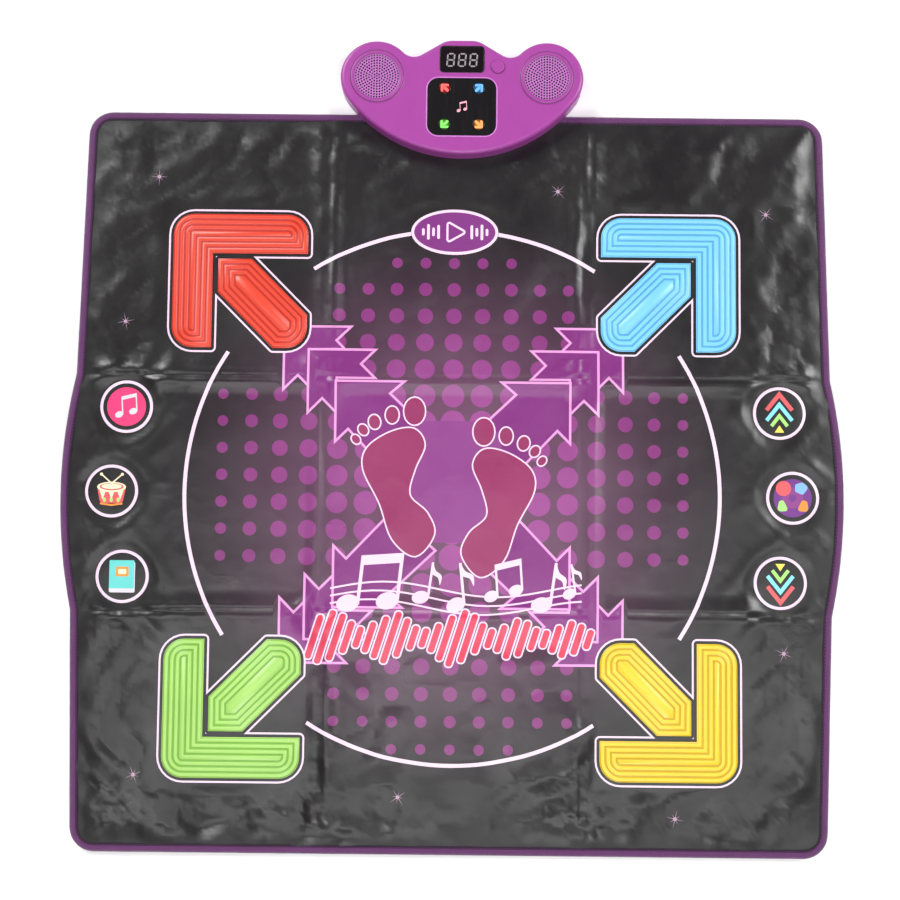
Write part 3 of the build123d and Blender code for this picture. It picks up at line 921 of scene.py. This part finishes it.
def level_at_seam(y):
    """Flattens the slope across the print's middle, where the two halves of the sheet meet."""
    away, reach = abs(y - print_y) - 2.2, 12.0
    if away >= reach:
        return y
    away = max(away, 0.0)
    eased = away * away * (2 * reach - away) / reach**2
    return print_y + (eased + 2.2 * eased / reach) * (1 if y > print_y else -1)


def sheet_height(x, y):
    y = level_at_seam(y)
    return max(cloth_gain * sampled(x, y) + crushed_detail(x, y), 0.0)


settled_cloth = settle()


# ---- Mat layers ----
sheet_halves = (("upper", "mat_top", crease_top, 1), ("lower", "mat_bottom", crease_bottom, -1))


def halves(name, points, faces, middles, ink, materials, normals):
    """The upper and lower half of a layer, split along the print's middle."""
    made = []
    for half, row, cy, sign in sheet_halves:
        chosen = (middles[:, 1] > print_y) == (sign > 0)
        obj = build(f"{name}_{half}", points, faces[chosen], ink[chosen], materials, normals)
        made.append((obj, row, cy, sign))
    return made


def bend(obj):
    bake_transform(obj)


middle_line = [(x, print_y) for x in np.arange(-490, 490.1, 4)]
close_rows = (crease_top, print_y, crease_bottom)


def layer(name, outline, holes, low, thickness, materials, step=5.0, shapes=(), height=None,
          stands_for=None):
    """One layer of the mat from its cut outline, in two halves."""
    stands_for = stands_for or name
    flat, faces, middles, ink = printed_mesh(outline, holes, list(shapes), step, close_rows, [middle_line])
    heights, normals = np.zeros(len(flat)), None
    if height:
        probe = 1.2
        heights, right, above = (np.array([height(x + dx, y + dy) for x, y in flat])
                                 for dx, dy in ((0, 0), (probe, 0), (0, probe)))
        normals = np.column_stack([heights - right, heights - above, np.full(len(flat), probe)])
        normals /= np.linalg.norm(normals, axis=1)[:, None]
    points = np.column_stack([flat, low + thickness + heights])
    for obj, row, cy, sign in halves(name, points, faces, middles, ink, materials, normals):
        thicken(obj, thickness)
        bend(obj)
        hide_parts(f"{stands_for}_middle_row", f"{stands_for}_{row[4:]}_row")


clamp_screws = [(console_x + dx, 446) for dx in (-96, -48, 0, 48, 96)]


def slot_about_console(half, low, high):
    return [(console_x - half, low), (console_x + half, low), (console_x + half, high),
            (console_x - half, high)]


screw_holes = [ellipse(*spot, 1.7, steps=12) for spot in clamp_screws]
head_holes = [ellipse(*spot, 4.0, steps=20) for spot in clamp_screws]
cable_slot = slot_about_console(9, 430, 432.5)
cable_channel = slot_about_console(9, 418, 432.5)
clamp_pocket = slot_about_console(106, 437, 455)

print_shapes = dots() + sparkles() + ring() + ribbons() + feet() + staff() + arrow_borders()
layer("top_sheet", mat_outline(0.8), all_holes + screw_holes + [cable_slot], sheet_z - skin, skin, inks,
      step=5.0,
      shapes=lowered(print_shapes), height=sheet_height)

grey_fabric = cloth("grey_backing_cloth", tone(0.36, 0.36, 0.38), 1100.0, 0.0002, Roughness=0.85)
grip_dots = vinyl("rubber_grip_dots", tone(0.16, 0.16, 0.17), crease=0.0, gloss=(0.6, 0.75), depth=0.0003)
foam = Finish("white_foam", follows_cloth=True)
foam.colour(tone(0.88, 0.87, 0.84), 60.0, 0.12)
cells = node(foam.tree, "ShaderNodeTexVoronoi", {"Vector": foam.place, "Scale": 700.0})
foam.bump(cells.outputs["Distance"], 0.0005)
foam_finish = foam.set(Roughness=0.9)
film = Finish("sensor_film", follows_cloth=True)
film.colour(tone(0.80, 0.84, 0.86), 20.0, 0.08)
film.bump(film.use(vinyl_skin, Crease=0.2).outputs["Height"], 0.0004)
film_finish = film.set(Roughness=0.22)
trace_ink = vinyl("silver_trace_ink", tone(0.62, 0.62, 0.64), crease=0.0, gloss=(0.3, 0.4))


def sensor_traces():
    """Printed contact fields under every pad, with tracks to the console."""
    shapes = []
    for sx, sy in corners_of_print.values():
        shapes.append((1, moved([(190, 187), (350, 187), (350, 347), (190, 347)], 0, print_y, sx, sy)))
        x, y = sx * 190, print_y + sy * 267
        lane = sx * (20 + (0 if sy > 0 else 8))
        shapes.append((1, stroke([(x, y), (lane, y), (lane, 428)], 1.5)))
    for number, (x, y) in enumerate(side_centres.values()):
        shapes.append((1, ellipse(x, y, 27, steps=24)))
        lane = (1 if x > 0 else -1) * (40 + 6 * (number % 3))
        shapes.append((1, stroke([(x, y), (lane, y), (lane, 428)], 1.2)))
    shapes.append((1, ellipse(*start_centre, 46, 22, steps=32)))
    return shapes


def grip_pattern():
    """Staggered rubber dots that keep the mat from sliding."""
    rows = [(x + (20 if row % 2 else 0), 40 * row) for row in range(-11, 12) for x in range(-440, 430, 40)]
    return [(1, ellipse(x, y, 4.5, steps=10)) for x, y in rows if edge_distance(x, y) > 20 and y < 430]


layer("base_sheet", mat_outline(11), head_holes, 0, backing, [grey_fabric, grip_dots],
      step=12.0, shapes=grip_pattern())
foam_top = 7.3
layer("foam_over", mat_outline(14), all_holes + [cable_channel, clamp_pocket], film_z + film_thickness,
      foam_top - film_z - film_thickness, [foam_finish], step=14.0, stands_for="foam")
layer("foam_under", mat_outline(14), [clamp_pocket], backing, film_z - backing, [foam_finish],
      step=14.0, stands_for="foam")
layer("sensor_film", mat_outline(30), [], film_z, film_thickness, [film_finish, trace_ink],
      step=14.0, shapes=sensor_traces())


# ---- Binding and its stitches ----
def resampled(loop, pitch):
    """Evenly spaced points along a closed line."""
    points = [Vector(p) for p in loop]
    lengths = [(points[(i + 1) % len(points)] - p).length for i, p in enumerate(points)]
    count = round(sum(lengths) / pitch)
    step = sum(lengths) / count
    out, i, gone = [], 0, 0.0
    for k in range(count):
        while gone + lengths[i] < k * step:
            gone += lengths[i]
            i += 1
        out.append(points[i].lerp(points[(i + 1) % len(points)], (k * step - gone) / lengths[i]))
    return out


def pucker(point):
    """Small gathers where the tape is sewn, and a slow wave along the edge."""
    x, y, z = point
    gather = 0.45 * noise.noise(Vector((x / 6.5, y / 6.5, 1.0)))
    gather += 0.9 * noise.noise(Vector((x / 38, y / 38, 5.0)))
    return (x, y, z + gather * ramp(z, 2, 8))


tape = cloth("purple_binding_tape", tone(0.38, 0.13, 0.39), 1500.0, 0.00022, Roughness=0.42,
             Sheen_Weight=0.25)
# Painted shade: a very dark purple for the dip along the tape's inner edge, where the stitch groove lies in
# shade.
tape_painted_shade = cloth("purple_tape_painted_shade", tone(0.15, 0.06, 0.16), 1500.0, 0.00022, Roughness=0.5)
thread = cloth("purple_sewing_thread", tone(0.46, 0.20, 0.46), 2600.0, 0.0001, Roughness=0.6)


def make_binding():
    """Tape folded round the edge, swept along the outline, with a row of stitches."""
    section = [(-11, 8.5), (-9.6, 9.0), (-8.6, 8.75), (-7.6, 9.1), (-5, 9.5), (-2, 9.2), (-0.4, 8.0),
               (0.3, 6.2), (0.4, 4.0),
               (0.1, 1.8), (-0.9, 0.5), (-3, 0.15), (-10.8, 0.1), (-11, 0.5), (-1.6, 0.9), (-0.7, 2.2),
               (-0.5, 4.0), (-0.7, 6.2), (-1.6, 7.6), (-10.8, 7.85)]
    profile = bpy.data.curves.new("binding_section", "CURVE")
    profile.dimensions = "2D"
    spline = profile.splines.new("POLY")
    spline.points.add(len(section) - 1)
    for point, (u, z) in zip(spline.points, section):
        point.co = (u * MM, z * MM, 0, 1)
    spline.use_cyclic_u = True
    holder = bpy.data.objects.new("binding_section", profile)
    path = bpy.data.curves.new("binding_path", "CURVE")
    path.dimensions = "3D"
    path.twist_mode = "Z_UP"
    route = resampled(mat_outline(), 2.6)
    spline = path.splines.new("POLY")
    spline.points.add(len(route) - 1)
    for point, (x, y) in zip(spline.points, route):
        point.co = (x * MM, y * MM, 0, 1)
    spline.use_cyclic_u = True
    path.bevel_mode = "OBJECT"
    path.bevel_object = holder
    sweep = bpy.data.objects.new("binding_path", path)
    for obj in (holder, sweep):
        scene.collection.objects.link(obj)
    bpy.context.view_layer.update()
    swept = bpy.data.meshes.new_from_object(sweep.evaluated_get(bpy.context.evaluated_depsgraph_get()))
    stitch_pitch, stitch_size = 4.4, Vector((1.55, 0.36, 0.3)) * MM
    stitch_line = resampled(mat_outline(8.6), stitch_pitch)
    for half, row, cy, sign in sheet_halves:
        bm = bmesh.new()
        bm.from_mesh(swept)
        bmesh.ops.remove_doubles(bm, verts=bm.verts, dist=1e-6)
        bmesh.ops.bisect_plane(bm, geom=bm.verts[:] + bm.edges[:] + bm.faces[:], dist=1e-5,
                               plane_co=(0, print_y * MM, 0), plane_no=(0, -sign, 0), clear_outer=True)
        for face in bm.faces:
            middle = face.calc_center_median().z / MM
            # Faces in the low dip by the stitch line take the dark painted-shade purple.
            face.material_index = 1 if 8.68 < middle < 8.95 and abs(face.normal.z) > 0.3 else 0
        for vert in bm.verts:
            vert.co = Vector(pucker(vert.co / MM)) * MM
        tape_half = from_bmesh(f"binding_{half}", bm, [tape, tape_painted_shade], smooth=75)
        bm = bmesh.new()
        for i, p in enumerate(stitch_line):
            if (p.y - print_y) * sign <= 0:
                continue
            ahead = (stitch_line[(i + 1) % len(stitch_line)] - stitch_line[i - 1]).normalized()
            spot = Vector(pucker((p.x, p.y, 8.95)))
            turn = Matrix.Rotation(-Vector((1, 0)).angle_signed(ahead, 0), 4, "Z")
            place = Matrix.Translation(spot * MM) @ turn
            size = Matrix.Diagonal((*stitch_size, 1))
            bmesh.ops.create_uvsphere(bm, u_segments=6, v_segments=4, radius=1, matrix=place @ size)
        stitches = from_bmesh(f"binding_stitches_{half}", bm, [thread], smooth=180)
        for obj in (tape_half, stitches):
            bend(obj)
        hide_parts("binding_middle_row", f"binding_{row[4:]}_row")
    bpy.data.objects.remove(holder)
    bpy.data.objects.remove(sweep)


make_binding()


# ---- Raised arrow pads ----
def pad_vinyl(name, colour):
    """Embossed soft vinyl: satin crowns, and grooves between the ribs in a darker copy of the colour, which is
    painted shade.
    """
    crown = vinyl(f"{name}_vinyl_crown", colour, crease=0.12, gloss=(0.32, 0.42), depth=0.0005)
    # Painted shade: the groove colour is the crown colour darkened, for the shade down between the ribs.
    shaded_groove_colour = tuple(0.75 * c**1.4 for c in colour[:3]) + (1.0,)
    shaded_groove_vinyl = vinyl(f"{name}_vinyl_groove_painted_shade", shaded_groove_colour, crease=0.12, gloss=(0.4, 0.5), depth=0.0005)
    return [crown, shaded_groove_vinyl]


rib = [(0.7, 0.7), (0.65, 0.35), (1.5, 0.1), (1.5, -0.1), (0.65, -0.35), (0.7, -0.7), (1.2, 0.0)]
pad_ribs = [(0.9, 0.5)] + rib * 3 + [(0.6, 0.6), (0.3, 0.3)]
rib_base = arrow_top - 1.3
shoulder = rib_base - 0.5
pad_foot = 6.6


def ribbed_pad(name, corners, sx, sy, materials, body):
    """A pad whose ribs run parallel to its edge, one inside the other."""
    bm = bmesh.new()
    outline = moved(rounded(corners, steps=9), 0, print_y, sx, sy)
    loop = [bm.verts.new((x * MM, y * MM, shoulder * MM)) for x, y in outline]
    top = bm.faces.new(loop)
    walls = bmesh.ops.extrude_edge_only(bm, edges=bm.edges[:])
    lowest = [v for v in walls["geom"] if isinstance(v, bmesh.types.BMVert)]
    bmesh.ops.translate(bm, verts=lowest, vec=(0, 0, (pad_foot - shoulder) * MM))
    rim = [e for e in bm.edges if all(v in lowest for v in e.verts)]
    bmesh.ops.edgeloop_fill(bm, edges=rim)
    for width, rise in pad_ribs:
        bmesh.ops.inset_region(bm, faces=[top], thickness=width * MM, depth=rise * MM, use_boundary=True,
                               use_even_offset=True)
    for face in bm.faces:
        low = min(v.co.z for v in face.verts)
        # Faces at the bottom of the grooves take the darker painted-shade colour.
        face.material_index = 1 if rib_base - 0.1 < low / MM < rib_base + 0.2 and face.normal.z > 0.1 else 0
    flats = [face for face in bm.faces if len(face.verts) > 4]
    bmesh.ops.triangulate(bm, faces=flats, ngon_method="EAR_CLIP")
    obj = from_bmesh(name, bm, materials, smooth=50)
    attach(obj, body)
    return obj


pad_colours = {
    "red": tone(0.84, 0.25, 0.16),
    "blue": tone(0.46, 0.76, 0.92),
    "green": tone(0.62, 0.80, 0.40),
    "yellow": tone(0.89, 0.77, 0.20),
}
for colour, (sx, sy) in corners_of_print.items():
    materials = pad_vinyl(colour, pad_colours[colour])
    for part, corners in (("chevron", head_corners), ("stem", stem_corners)):
        pad = ribbed_pad(f"ribbed_{part}_{colour}", corners, sx, sy, materials, f"arrow_{colour}")
        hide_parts(f"arrow_{colour}_{part}")


# ---- Start pad and side pads ----
def printed_pad(name, centre, radii, shapes, top):
    """A flat pad with its picture in its faces and a softly rounded edge."""
    x0, y0 = centre
    outline = ellipse(x0, y0, *radii, steps=72)
    flat, faces, middles, ink = printed_mesh(outline, [], lowered(shapes, x0, y0), 2.5)
    away = np.hypot((flat[:, 0] - x0) / radii[0], (flat[:, 1] - y0) / radii[1])
    edge = (1 - away) * min(radii)
    crown, crown_width, drop, drop_width = 0.35, 12, 0.45, 1.6
    heights = top + crown * np.clip(edge / crown_width, 0, 1)
    heights -= drop * np.clip(1 - edge / drop_width, 0, 1) ** 2
    obj = build(f"{name}_print", np.column_stack([flat, heights]), faces, ink, inks)
    thicken(obj, 1.9)
    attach(obj, name)
    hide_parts(name)


def chevron_up(y, reach, drop, half):
    return stroke([(-reach, y - drop), (0, y), (reach, y - drop)], half)


def drum():
    """A small drum with two crossed sticks."""
    side = rounded([(-14, -15, 5), (14, -15, 5), (18, 5, 3), (-18, 5, 3)])
    shapes = [(CORAL, side)]
    for k in (-1, 0, 1):
        shapes.append((CREAM, moved([(-4, 0), (0, -12), (4, 0)], 11 * k, 1)))
        shapes.append((GREEN, ellipse(8.5 * k, -11, 2.0, 2.8, steps=14)))
    shapes += [(ORANGE, stroke([(-14, -15.5), (0, -17.5), (14, -15.5)], 1.2)),
               (CREAM, ellipse(0, 5, 18, 6.5)),
               (CORAL, ellipse(0, 5.4, 15, 4.6)), (CREAM, ellipse(0, 5.8, 12.6, 3.4))]
    for side in (-1, 1):
        shapes.append((CREAM, stroke([(side * -4, 6), (side * 13, 21)], 0.8)))
        shapes.append((CREAM, ellipse(side * 13, 21, 1.9, steps=12)))
    return shapes


def side_pictures():
    ups = [(CORAL, chevron_up(24, 16, 20, 2.6)), (CYAN, chevron_up(11, 16, 20, 2.4)),
           (GREEN, chevron_up(-3, 10, 13, 2.2)), (YELLOW, [(-6, -24), (6, -24), (0, -15)])]
    downs = [(ink, [(x, -y) for x, y in shape][::-1]) for ink, shape in ups]
    book = [(SILVER, rounded(box(-16, -20, 16, 18, 2))),
            (TEAL, rounded(box(-16, -15, 15, 20, 1.5))),
            (ORANGE, rounded(box(-8, 0, 8, 12, 1))),
            (CREAM, rounded(box(-5, 3, 5, 9, 1)))]
    petals = [(VIOLET, ellipse(0, 0, 24)), (PURPLE, ellipse(0, 0, 13)), (CORAL, ellipse(-11.5, 12, 9.5)),
              (SKY, rounded([(3, 8, 3), (13, 4, 3), (20, 14, 4), (12, 20, 4), (3, 17, 3)])),
              (GREEN, rounded([(-20, -17, 4), (-5, -16, 3), (-12, -2, 3), (-17, -4, 3)])),
              (ORANGE, rounded([(5, -16, 3), (20, -17, 4), (18, -4, 3), (12, -2, 3)])),
              (VIOLET, ellipse(0, 0, 4.5))]
    melody = [(PINK, ellipse(0, 0, 24.5))] + [(SILVER, s) for s in paired_notes(-9, -10, 15.5, 4)]
    return {"left_pad_upper": melody, "left_pad_middle": drum(), "left_pad_lower": book,
            "right_pad_upper": ups, "right_pad_middle": petals, "right_pad_lower": downs}


for name, picture in side_pictures().items():
    rim = [(WHITE, ellipse(0, 0, side_radius + 1, steps=60)),
           (SOLID_BLACK, ellipse(0, 0, side_radius - 3.6, steps=60))]
    printed_pad(name, side_centres[name], (side_radius, side_radius), rim + picture, 8.6)


def start_picture():
    """A play mark between two rows of sound bars, in outline."""
    shapes = [(WHITE, ellipse(0, 0, 56, 30, steps=72)), (START, ellipse(0, 0, 51.4, 25.4, steps=72))]
    play = [(-9, -13, 2), (14, 0, 2), (-9, 13, 2)]
    shapes += [(WHITE, rounded(play, 1.6)), (START, rounded(play, -1.0))]
    for side in (-1, 1):
        for k, height in enumerate((18, 11, 20, 9)):
            x = side * (19.5 + 6.4 * k) + (2 if side > 0 else -1)
            bar = box(x - 1.7, -height / 2, x + 1.7, height / 2, 1.6)
            shapes.append((WHITE, rounded(bar, steps=4)))
    return shapes


start_radii = (start_size[0] / 2, start_size[1] / 2)
printed_pad("start_pad", start_centre, start_radii, start_picture(), 8.8)


# ---- Console ----
purple = tone(0.60, 0.24, 0.57)
finishes = {
    "purple_plastic": moulded("purple_housing_plastic", purple, (0.3, 0.42), amount=0.05),
    "black_plastic": moulded("black_panel_plastic", tone(0.06, 0.05, 0.06), (0.18, 0.3), depth=0.00002),
    "smoked_window": moulded("smoked_window_plastic", tone(0.07, 0.03, 0.06), (0.06, 0.12), depth=0.000005),
    "steel": moulded("drawn_steel", tone(0.72, 0.72, 0.74), (0.25, 0.45), depth=0.00001, grain=2600.0,
                     Metallic=1.0),
    "paper_cone": moulded("pressed_paper_cone", tone(0.16, 0.15, 0.15), (0.7, 0.9), depth=0.0003,
                          grain=700.0),
    "circuit_board": moulded("green_solder_mask", tone(0.08, 0.40, 0.22), (0.3, 0.45), amount=0.2),
    "components": moulded("epoxy_parts", tone(0.13, 0.13, 0.14), (0.45, 0.6)),
    "battery_wrap": moulded("printed_cell_wrap", tone(0.30, 0.30, 0.32), (0.2, 0.32), Metallic=0.6),
    "cable_white": moulded("white_cable_jacket", tone(0.86, 0.86, 0.84), (0.45, 0.6)),
    "rubber": moulded("black_rubber", tone(0.12, 0.12, 0.12), (0.75, 0.9), depth=0.0001, grain=900.0),
}
light_places = {"red": (-21.5, 490, -1, 1), "blue": (21.5, 490, 1, 1), "green": (-21.5, 443.5, -1, -1),
                "orange": (21.5, 443.5, 1, -1)}
light_colours = {"red": tone(0.95, 0.16, 0.14), "blue": tone(0.22, 0.62, 0.95),
                 "green": tone(0.40, 0.85, 0.20), "orange": tone(0.98, 0.58, 0.10)}


def lens(name, colour, x, y):
    """A dark tinted cap that glows in its middle."""
    finish = Finish(f"{name}_lens")
    glow = radial(finish, ((console_x + x) * MM, y * MM, 0), 0.003, 0.0075)
    dim = tuple(c * 0.02 for c in colour[:3]) + (1.0,)
    tint = tuple(c * 0.3 for c in colour[:3]) + (1.0,)
    finish.tree.links.new(mixed(finish, glow, dim, tint), finish.shader.inputs["Base Color"])
    lit = mixed(finish, glow, (0, 0, 0, 1), tuple(c * 0.35 for c in colour[:3]) + (1.0,))
    finish.tree.links.new(lit, finish.shader.inputs["Emission Color"])
    marks = finish.use(moulding, Grain=900.0)
    finish.roughness(marks.outputs["Wear"], 0.15, 0.25)
    finish.bump(marks.outputs["Height"], 0.00001)
    return finish.set(Emission_Strength=0.5)


def glowing(name, colour, strength):
    finish = Finish(name)
    finish.colour(colour, 300.0, 0.1)
    marks = finish.use(moulding)
    finish.roughness(marks.outputs["Wear"], 0.25, 0.35)
    finish.bump(marks.outputs["Height"], 0.00001)
    made = finish.use(mottle, Colour=colour, Size=300.0, Amount=0.1)
    finish.tree.links.new(made.outputs["Colour"], finish.shader.inputs["Emission Color"])
    return finish.set(Emission_Strength=strength)


slot_of = {part["node"]: part["material_slot"] for part in frame["record"]["subparts"]}
for colour, (x, y, _, _) in light_places.items():
    finishes[f"{colour}_lens"] = lens(colour, light_colours[colour], x, y)
for name, obj in frame["nodes"].items():
    if not obj.hide_render and slot_of[name] in finishes:
        if not obj.material_slots:
            obj.data.materials.append(None)
        for place in obj.material_slots:
            place.material = finishes[slot_of[name]]


def rounded_box(cx, cy, width, length, radius):
    x, y = width / 2, length / 2
    cx += console_x
    return rounded(box(cx - x, cy - y, cx + x, cy + y, radius))


panel_y, display_y = 466, 527


def make_face_details():
    # Painted highlight: a pale purple ring round the panel for the light band along its rim.
    rim_highlight_finish = moulded("purple_rim_painted_highlight", tone(0.76, 0.46, 0.76), (0.25, 0.35))
    panel_rim = [rounded_box(0, panel_y, 90, 77, 15.5), rounded_box(0, panel_y, 86.6, 73.6, 13.8)]
    plate("panel_rim", panel_rim, 33.6, 34.6, 0.35, rim_highlight_finish, "mat_top")
    window_rim = [rounded_box(0, display_y, 56.4, 34.4, 5.2), rounded_box(0, display_y, 53.6, 31.6, 3.8)]
    plate("window_rim", window_rim, 33.8, 34.7, 0.3, finishes["black_plastic"], "mat_top")
    silver = glowing("lit_digit", tone(0.56, 0.54, 0.56), 0.03)
    lean = 0.09
    across, tall, bar = 4.2, 7.9, 0.95
    segments = []
    for y in (-tall, 0, tall):
        segments.append([(-across + 0.9, y), (-across + 1.8, y - bar), (across - 1.8, y - bar),
                         (across - 0.9, y), (across - 1.8, y + bar), (-across + 1.8, y + bar)])
    for x in (-across, across):
        for y in (-tall / 2, tall / 2):
            half = tall / 2 - 0.4
            segments.append([(x, y - half), (x + bar, y - half + 0.9), (x + bar, y + half - 0.9),
                             (x, y + half), (x - bar, y + half - 0.9), (x - bar, y - half + 0.9)])
    loops = []
    for centre in (-14.3, 0, 14.3):
        for segment in segments:
            loops.append([(console_x + centre + px + lean * py, display_y - 1 + py) for px, py in segment])
    plate("display_digits", loops, 34.2, 34.42, 0.05, silver, "mat_top")
    mark_scale = 0.06
    for colour, (x, y, sx, sy) in light_places.items():
        pale_light = tuple(0.1 + 0.75 * c for c in light_colours[colour][:3]) + (1.0,)
        lit = glowing(f"{colour}_arrow_light", pale_light, 0.35)
        loops = []
        for corners in (head_corners, stem_corners):
            small = [((px - 270) * mark_scale, (py - 267) * mark_scale) for px, py in rounded(corners, steps=3)]
            loops.append(moved(small, console_x + x, y, sx, sy))
        plate(f"arrow_mark_{colour}", loops, 34.85, 35.05, 0.05, lit, "mat_top")
    pink = glowing("pink_note_mark", tone(0.93, 0.62, 0.70), 0.25)
    for number, shape in enumerate(paired_notes(console_x - 3.8, 461, 7.2, 4)):
        plate(f"note_mark_{number}", [shape], 34.25, 34.45 + 0.01 * number, 0.04, pink, "mat_top")


def make_grilles():
    """A finely drilled disc with a raised ring round it and a lip inside that."""
    disc_radius, hole_pitch, hole_radius = 29.6, 3.35, 1.2
    shadow_line = moulded("purple_groove_painted_shade", tone(0.40, 0.15, 0.38), (0.5, 0.6))
    # Painted highlight: the disc is a paler purple than the housing, for the sheen seen between its holes.
    grille_highlight_finish = moulded("grille_plastic_painted_highlight", tone(0.70, 0.42, 0.70), (0.2, 0.3), amount=0.12)
    for side, s in (("left", -1), ("right", 1)):
        x = console_x + s * ear_x
        loops = [ellipse(x, ear_y, disc_radius, steps=64)]
        for ring_number in range(9):
            count = 6 * ring_number or 1
            for k in range(count):
                angle = 2 * pi * (k + 0.5 * (ring_number % 2)) / count
                away = hole_pitch * ring_number
                loops.append(ellipse(x + away * cos(angle), ear_y + away * sin(angle), hole_radius, steps=8))
        disc = plate(f"drilled_disc_{side}", loops, 33.2, 34.3, 0.3, grille_highlight_finish, "mat_top")
        bm = bmesh.new()
        section = [(28.6, 33.0), (28.6, 34.5), (29.3, 34.75), (29.9, 34.95), (32.2, 34.95), (32.9, 34.7),
                   (33.2, 34.2), (34.1, 34.2), (34.5, 34.4), (34.8, 33.0)]
        verts = [bm.verts.new((r * MM, 0, z * MM)) for r, z in section]
        edges = [bm.edges.new((a, b)) for a, b in zip(verts, verts[1:] + verts[:1])]
        bmesh.ops.spin(bm, geom=verts + edges, cent=(0, 0, 0), axis=(0, 0, 1), angle=2 * pi, steps=72,
                       use_merge=True)
        bmesh.ops.translate(bm, verts=bm.verts, vec=(x * MM, ear_y * MM, 0))
        for face in bm.faces:
            reach = (face.calc_center_median() - Vector((x, ear_y, 0)) * MM).xy.length / MM
            # Painted shade: the narrow bands at the inner lip and at the outer groove take a darker purple.
            face.material_index = 1 if reach < 29.1 or 33.0 < reach < 34.2 else 0
        ring_piece = from_bmesh(f"speaker_ring_{side}", bm, [finishes["purple_plastic"], shadow_line],
                                smooth=50)
        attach(ring_piece, "mat_top")
        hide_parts(f"speaker_grille_{side}")
        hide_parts(f"speaker_grille_{side}")


make_face_details()
make_grilles()


# ---- Floor, lights and world ----
def make_studio():
    bm = bmesh.new()
    bmesh.ops.create_grid(bm, x_segments=1, y_segments=1, size=6)
    bmesh.ops.translate(bm, verts=bm.verts, vec=(0, 0, -0.0005))
    finish = Finish("pale_floor")
    finish.colour((0.95, 0.95, 0.95, 1), 3.0, 0.01)
    floor = from_bmesh("studio_floor", bm, [finish.set(Roughness=0.9)])
    world = bpy.data.worlds.new("studio")
    world.use_nodes = True
    world.node_tree.nodes["Background"].inputs["Color"].default_value = (1, 1, 1, 1)
    world.node_tree.nodes["Background"].inputs["Strength"].default_value = 0.18
    scene.world = world
    softboxes = [("key", (-2.2, 2.3, 2.4), 1.5, 1.5, 112), ("fill", (2.3, 0.9, 2.2), 1.2, 1.2, 66),
                 ("front", (0.1, -2.5, 2.1), 1.3, 1.3, 46), ("overhead", (0, -0.52, 2.2), 2.5, 0.6, 17)]
    for name, place, width, depth, power in softboxes:
        light = bpy.data.lights.new(name, "AREA")
        light.shape = "RECTANGLE"
        light.size = width
        light.size_y = depth
        light.energy = power
        lamp = linked(name, light)
        lamp.location = place
        lamp.rotation_euler = (-Vector(place)).to_track_quat("-Z", "Y").to_euler()
    scene.view_settings.view_transform = "Standard"


make_studio()
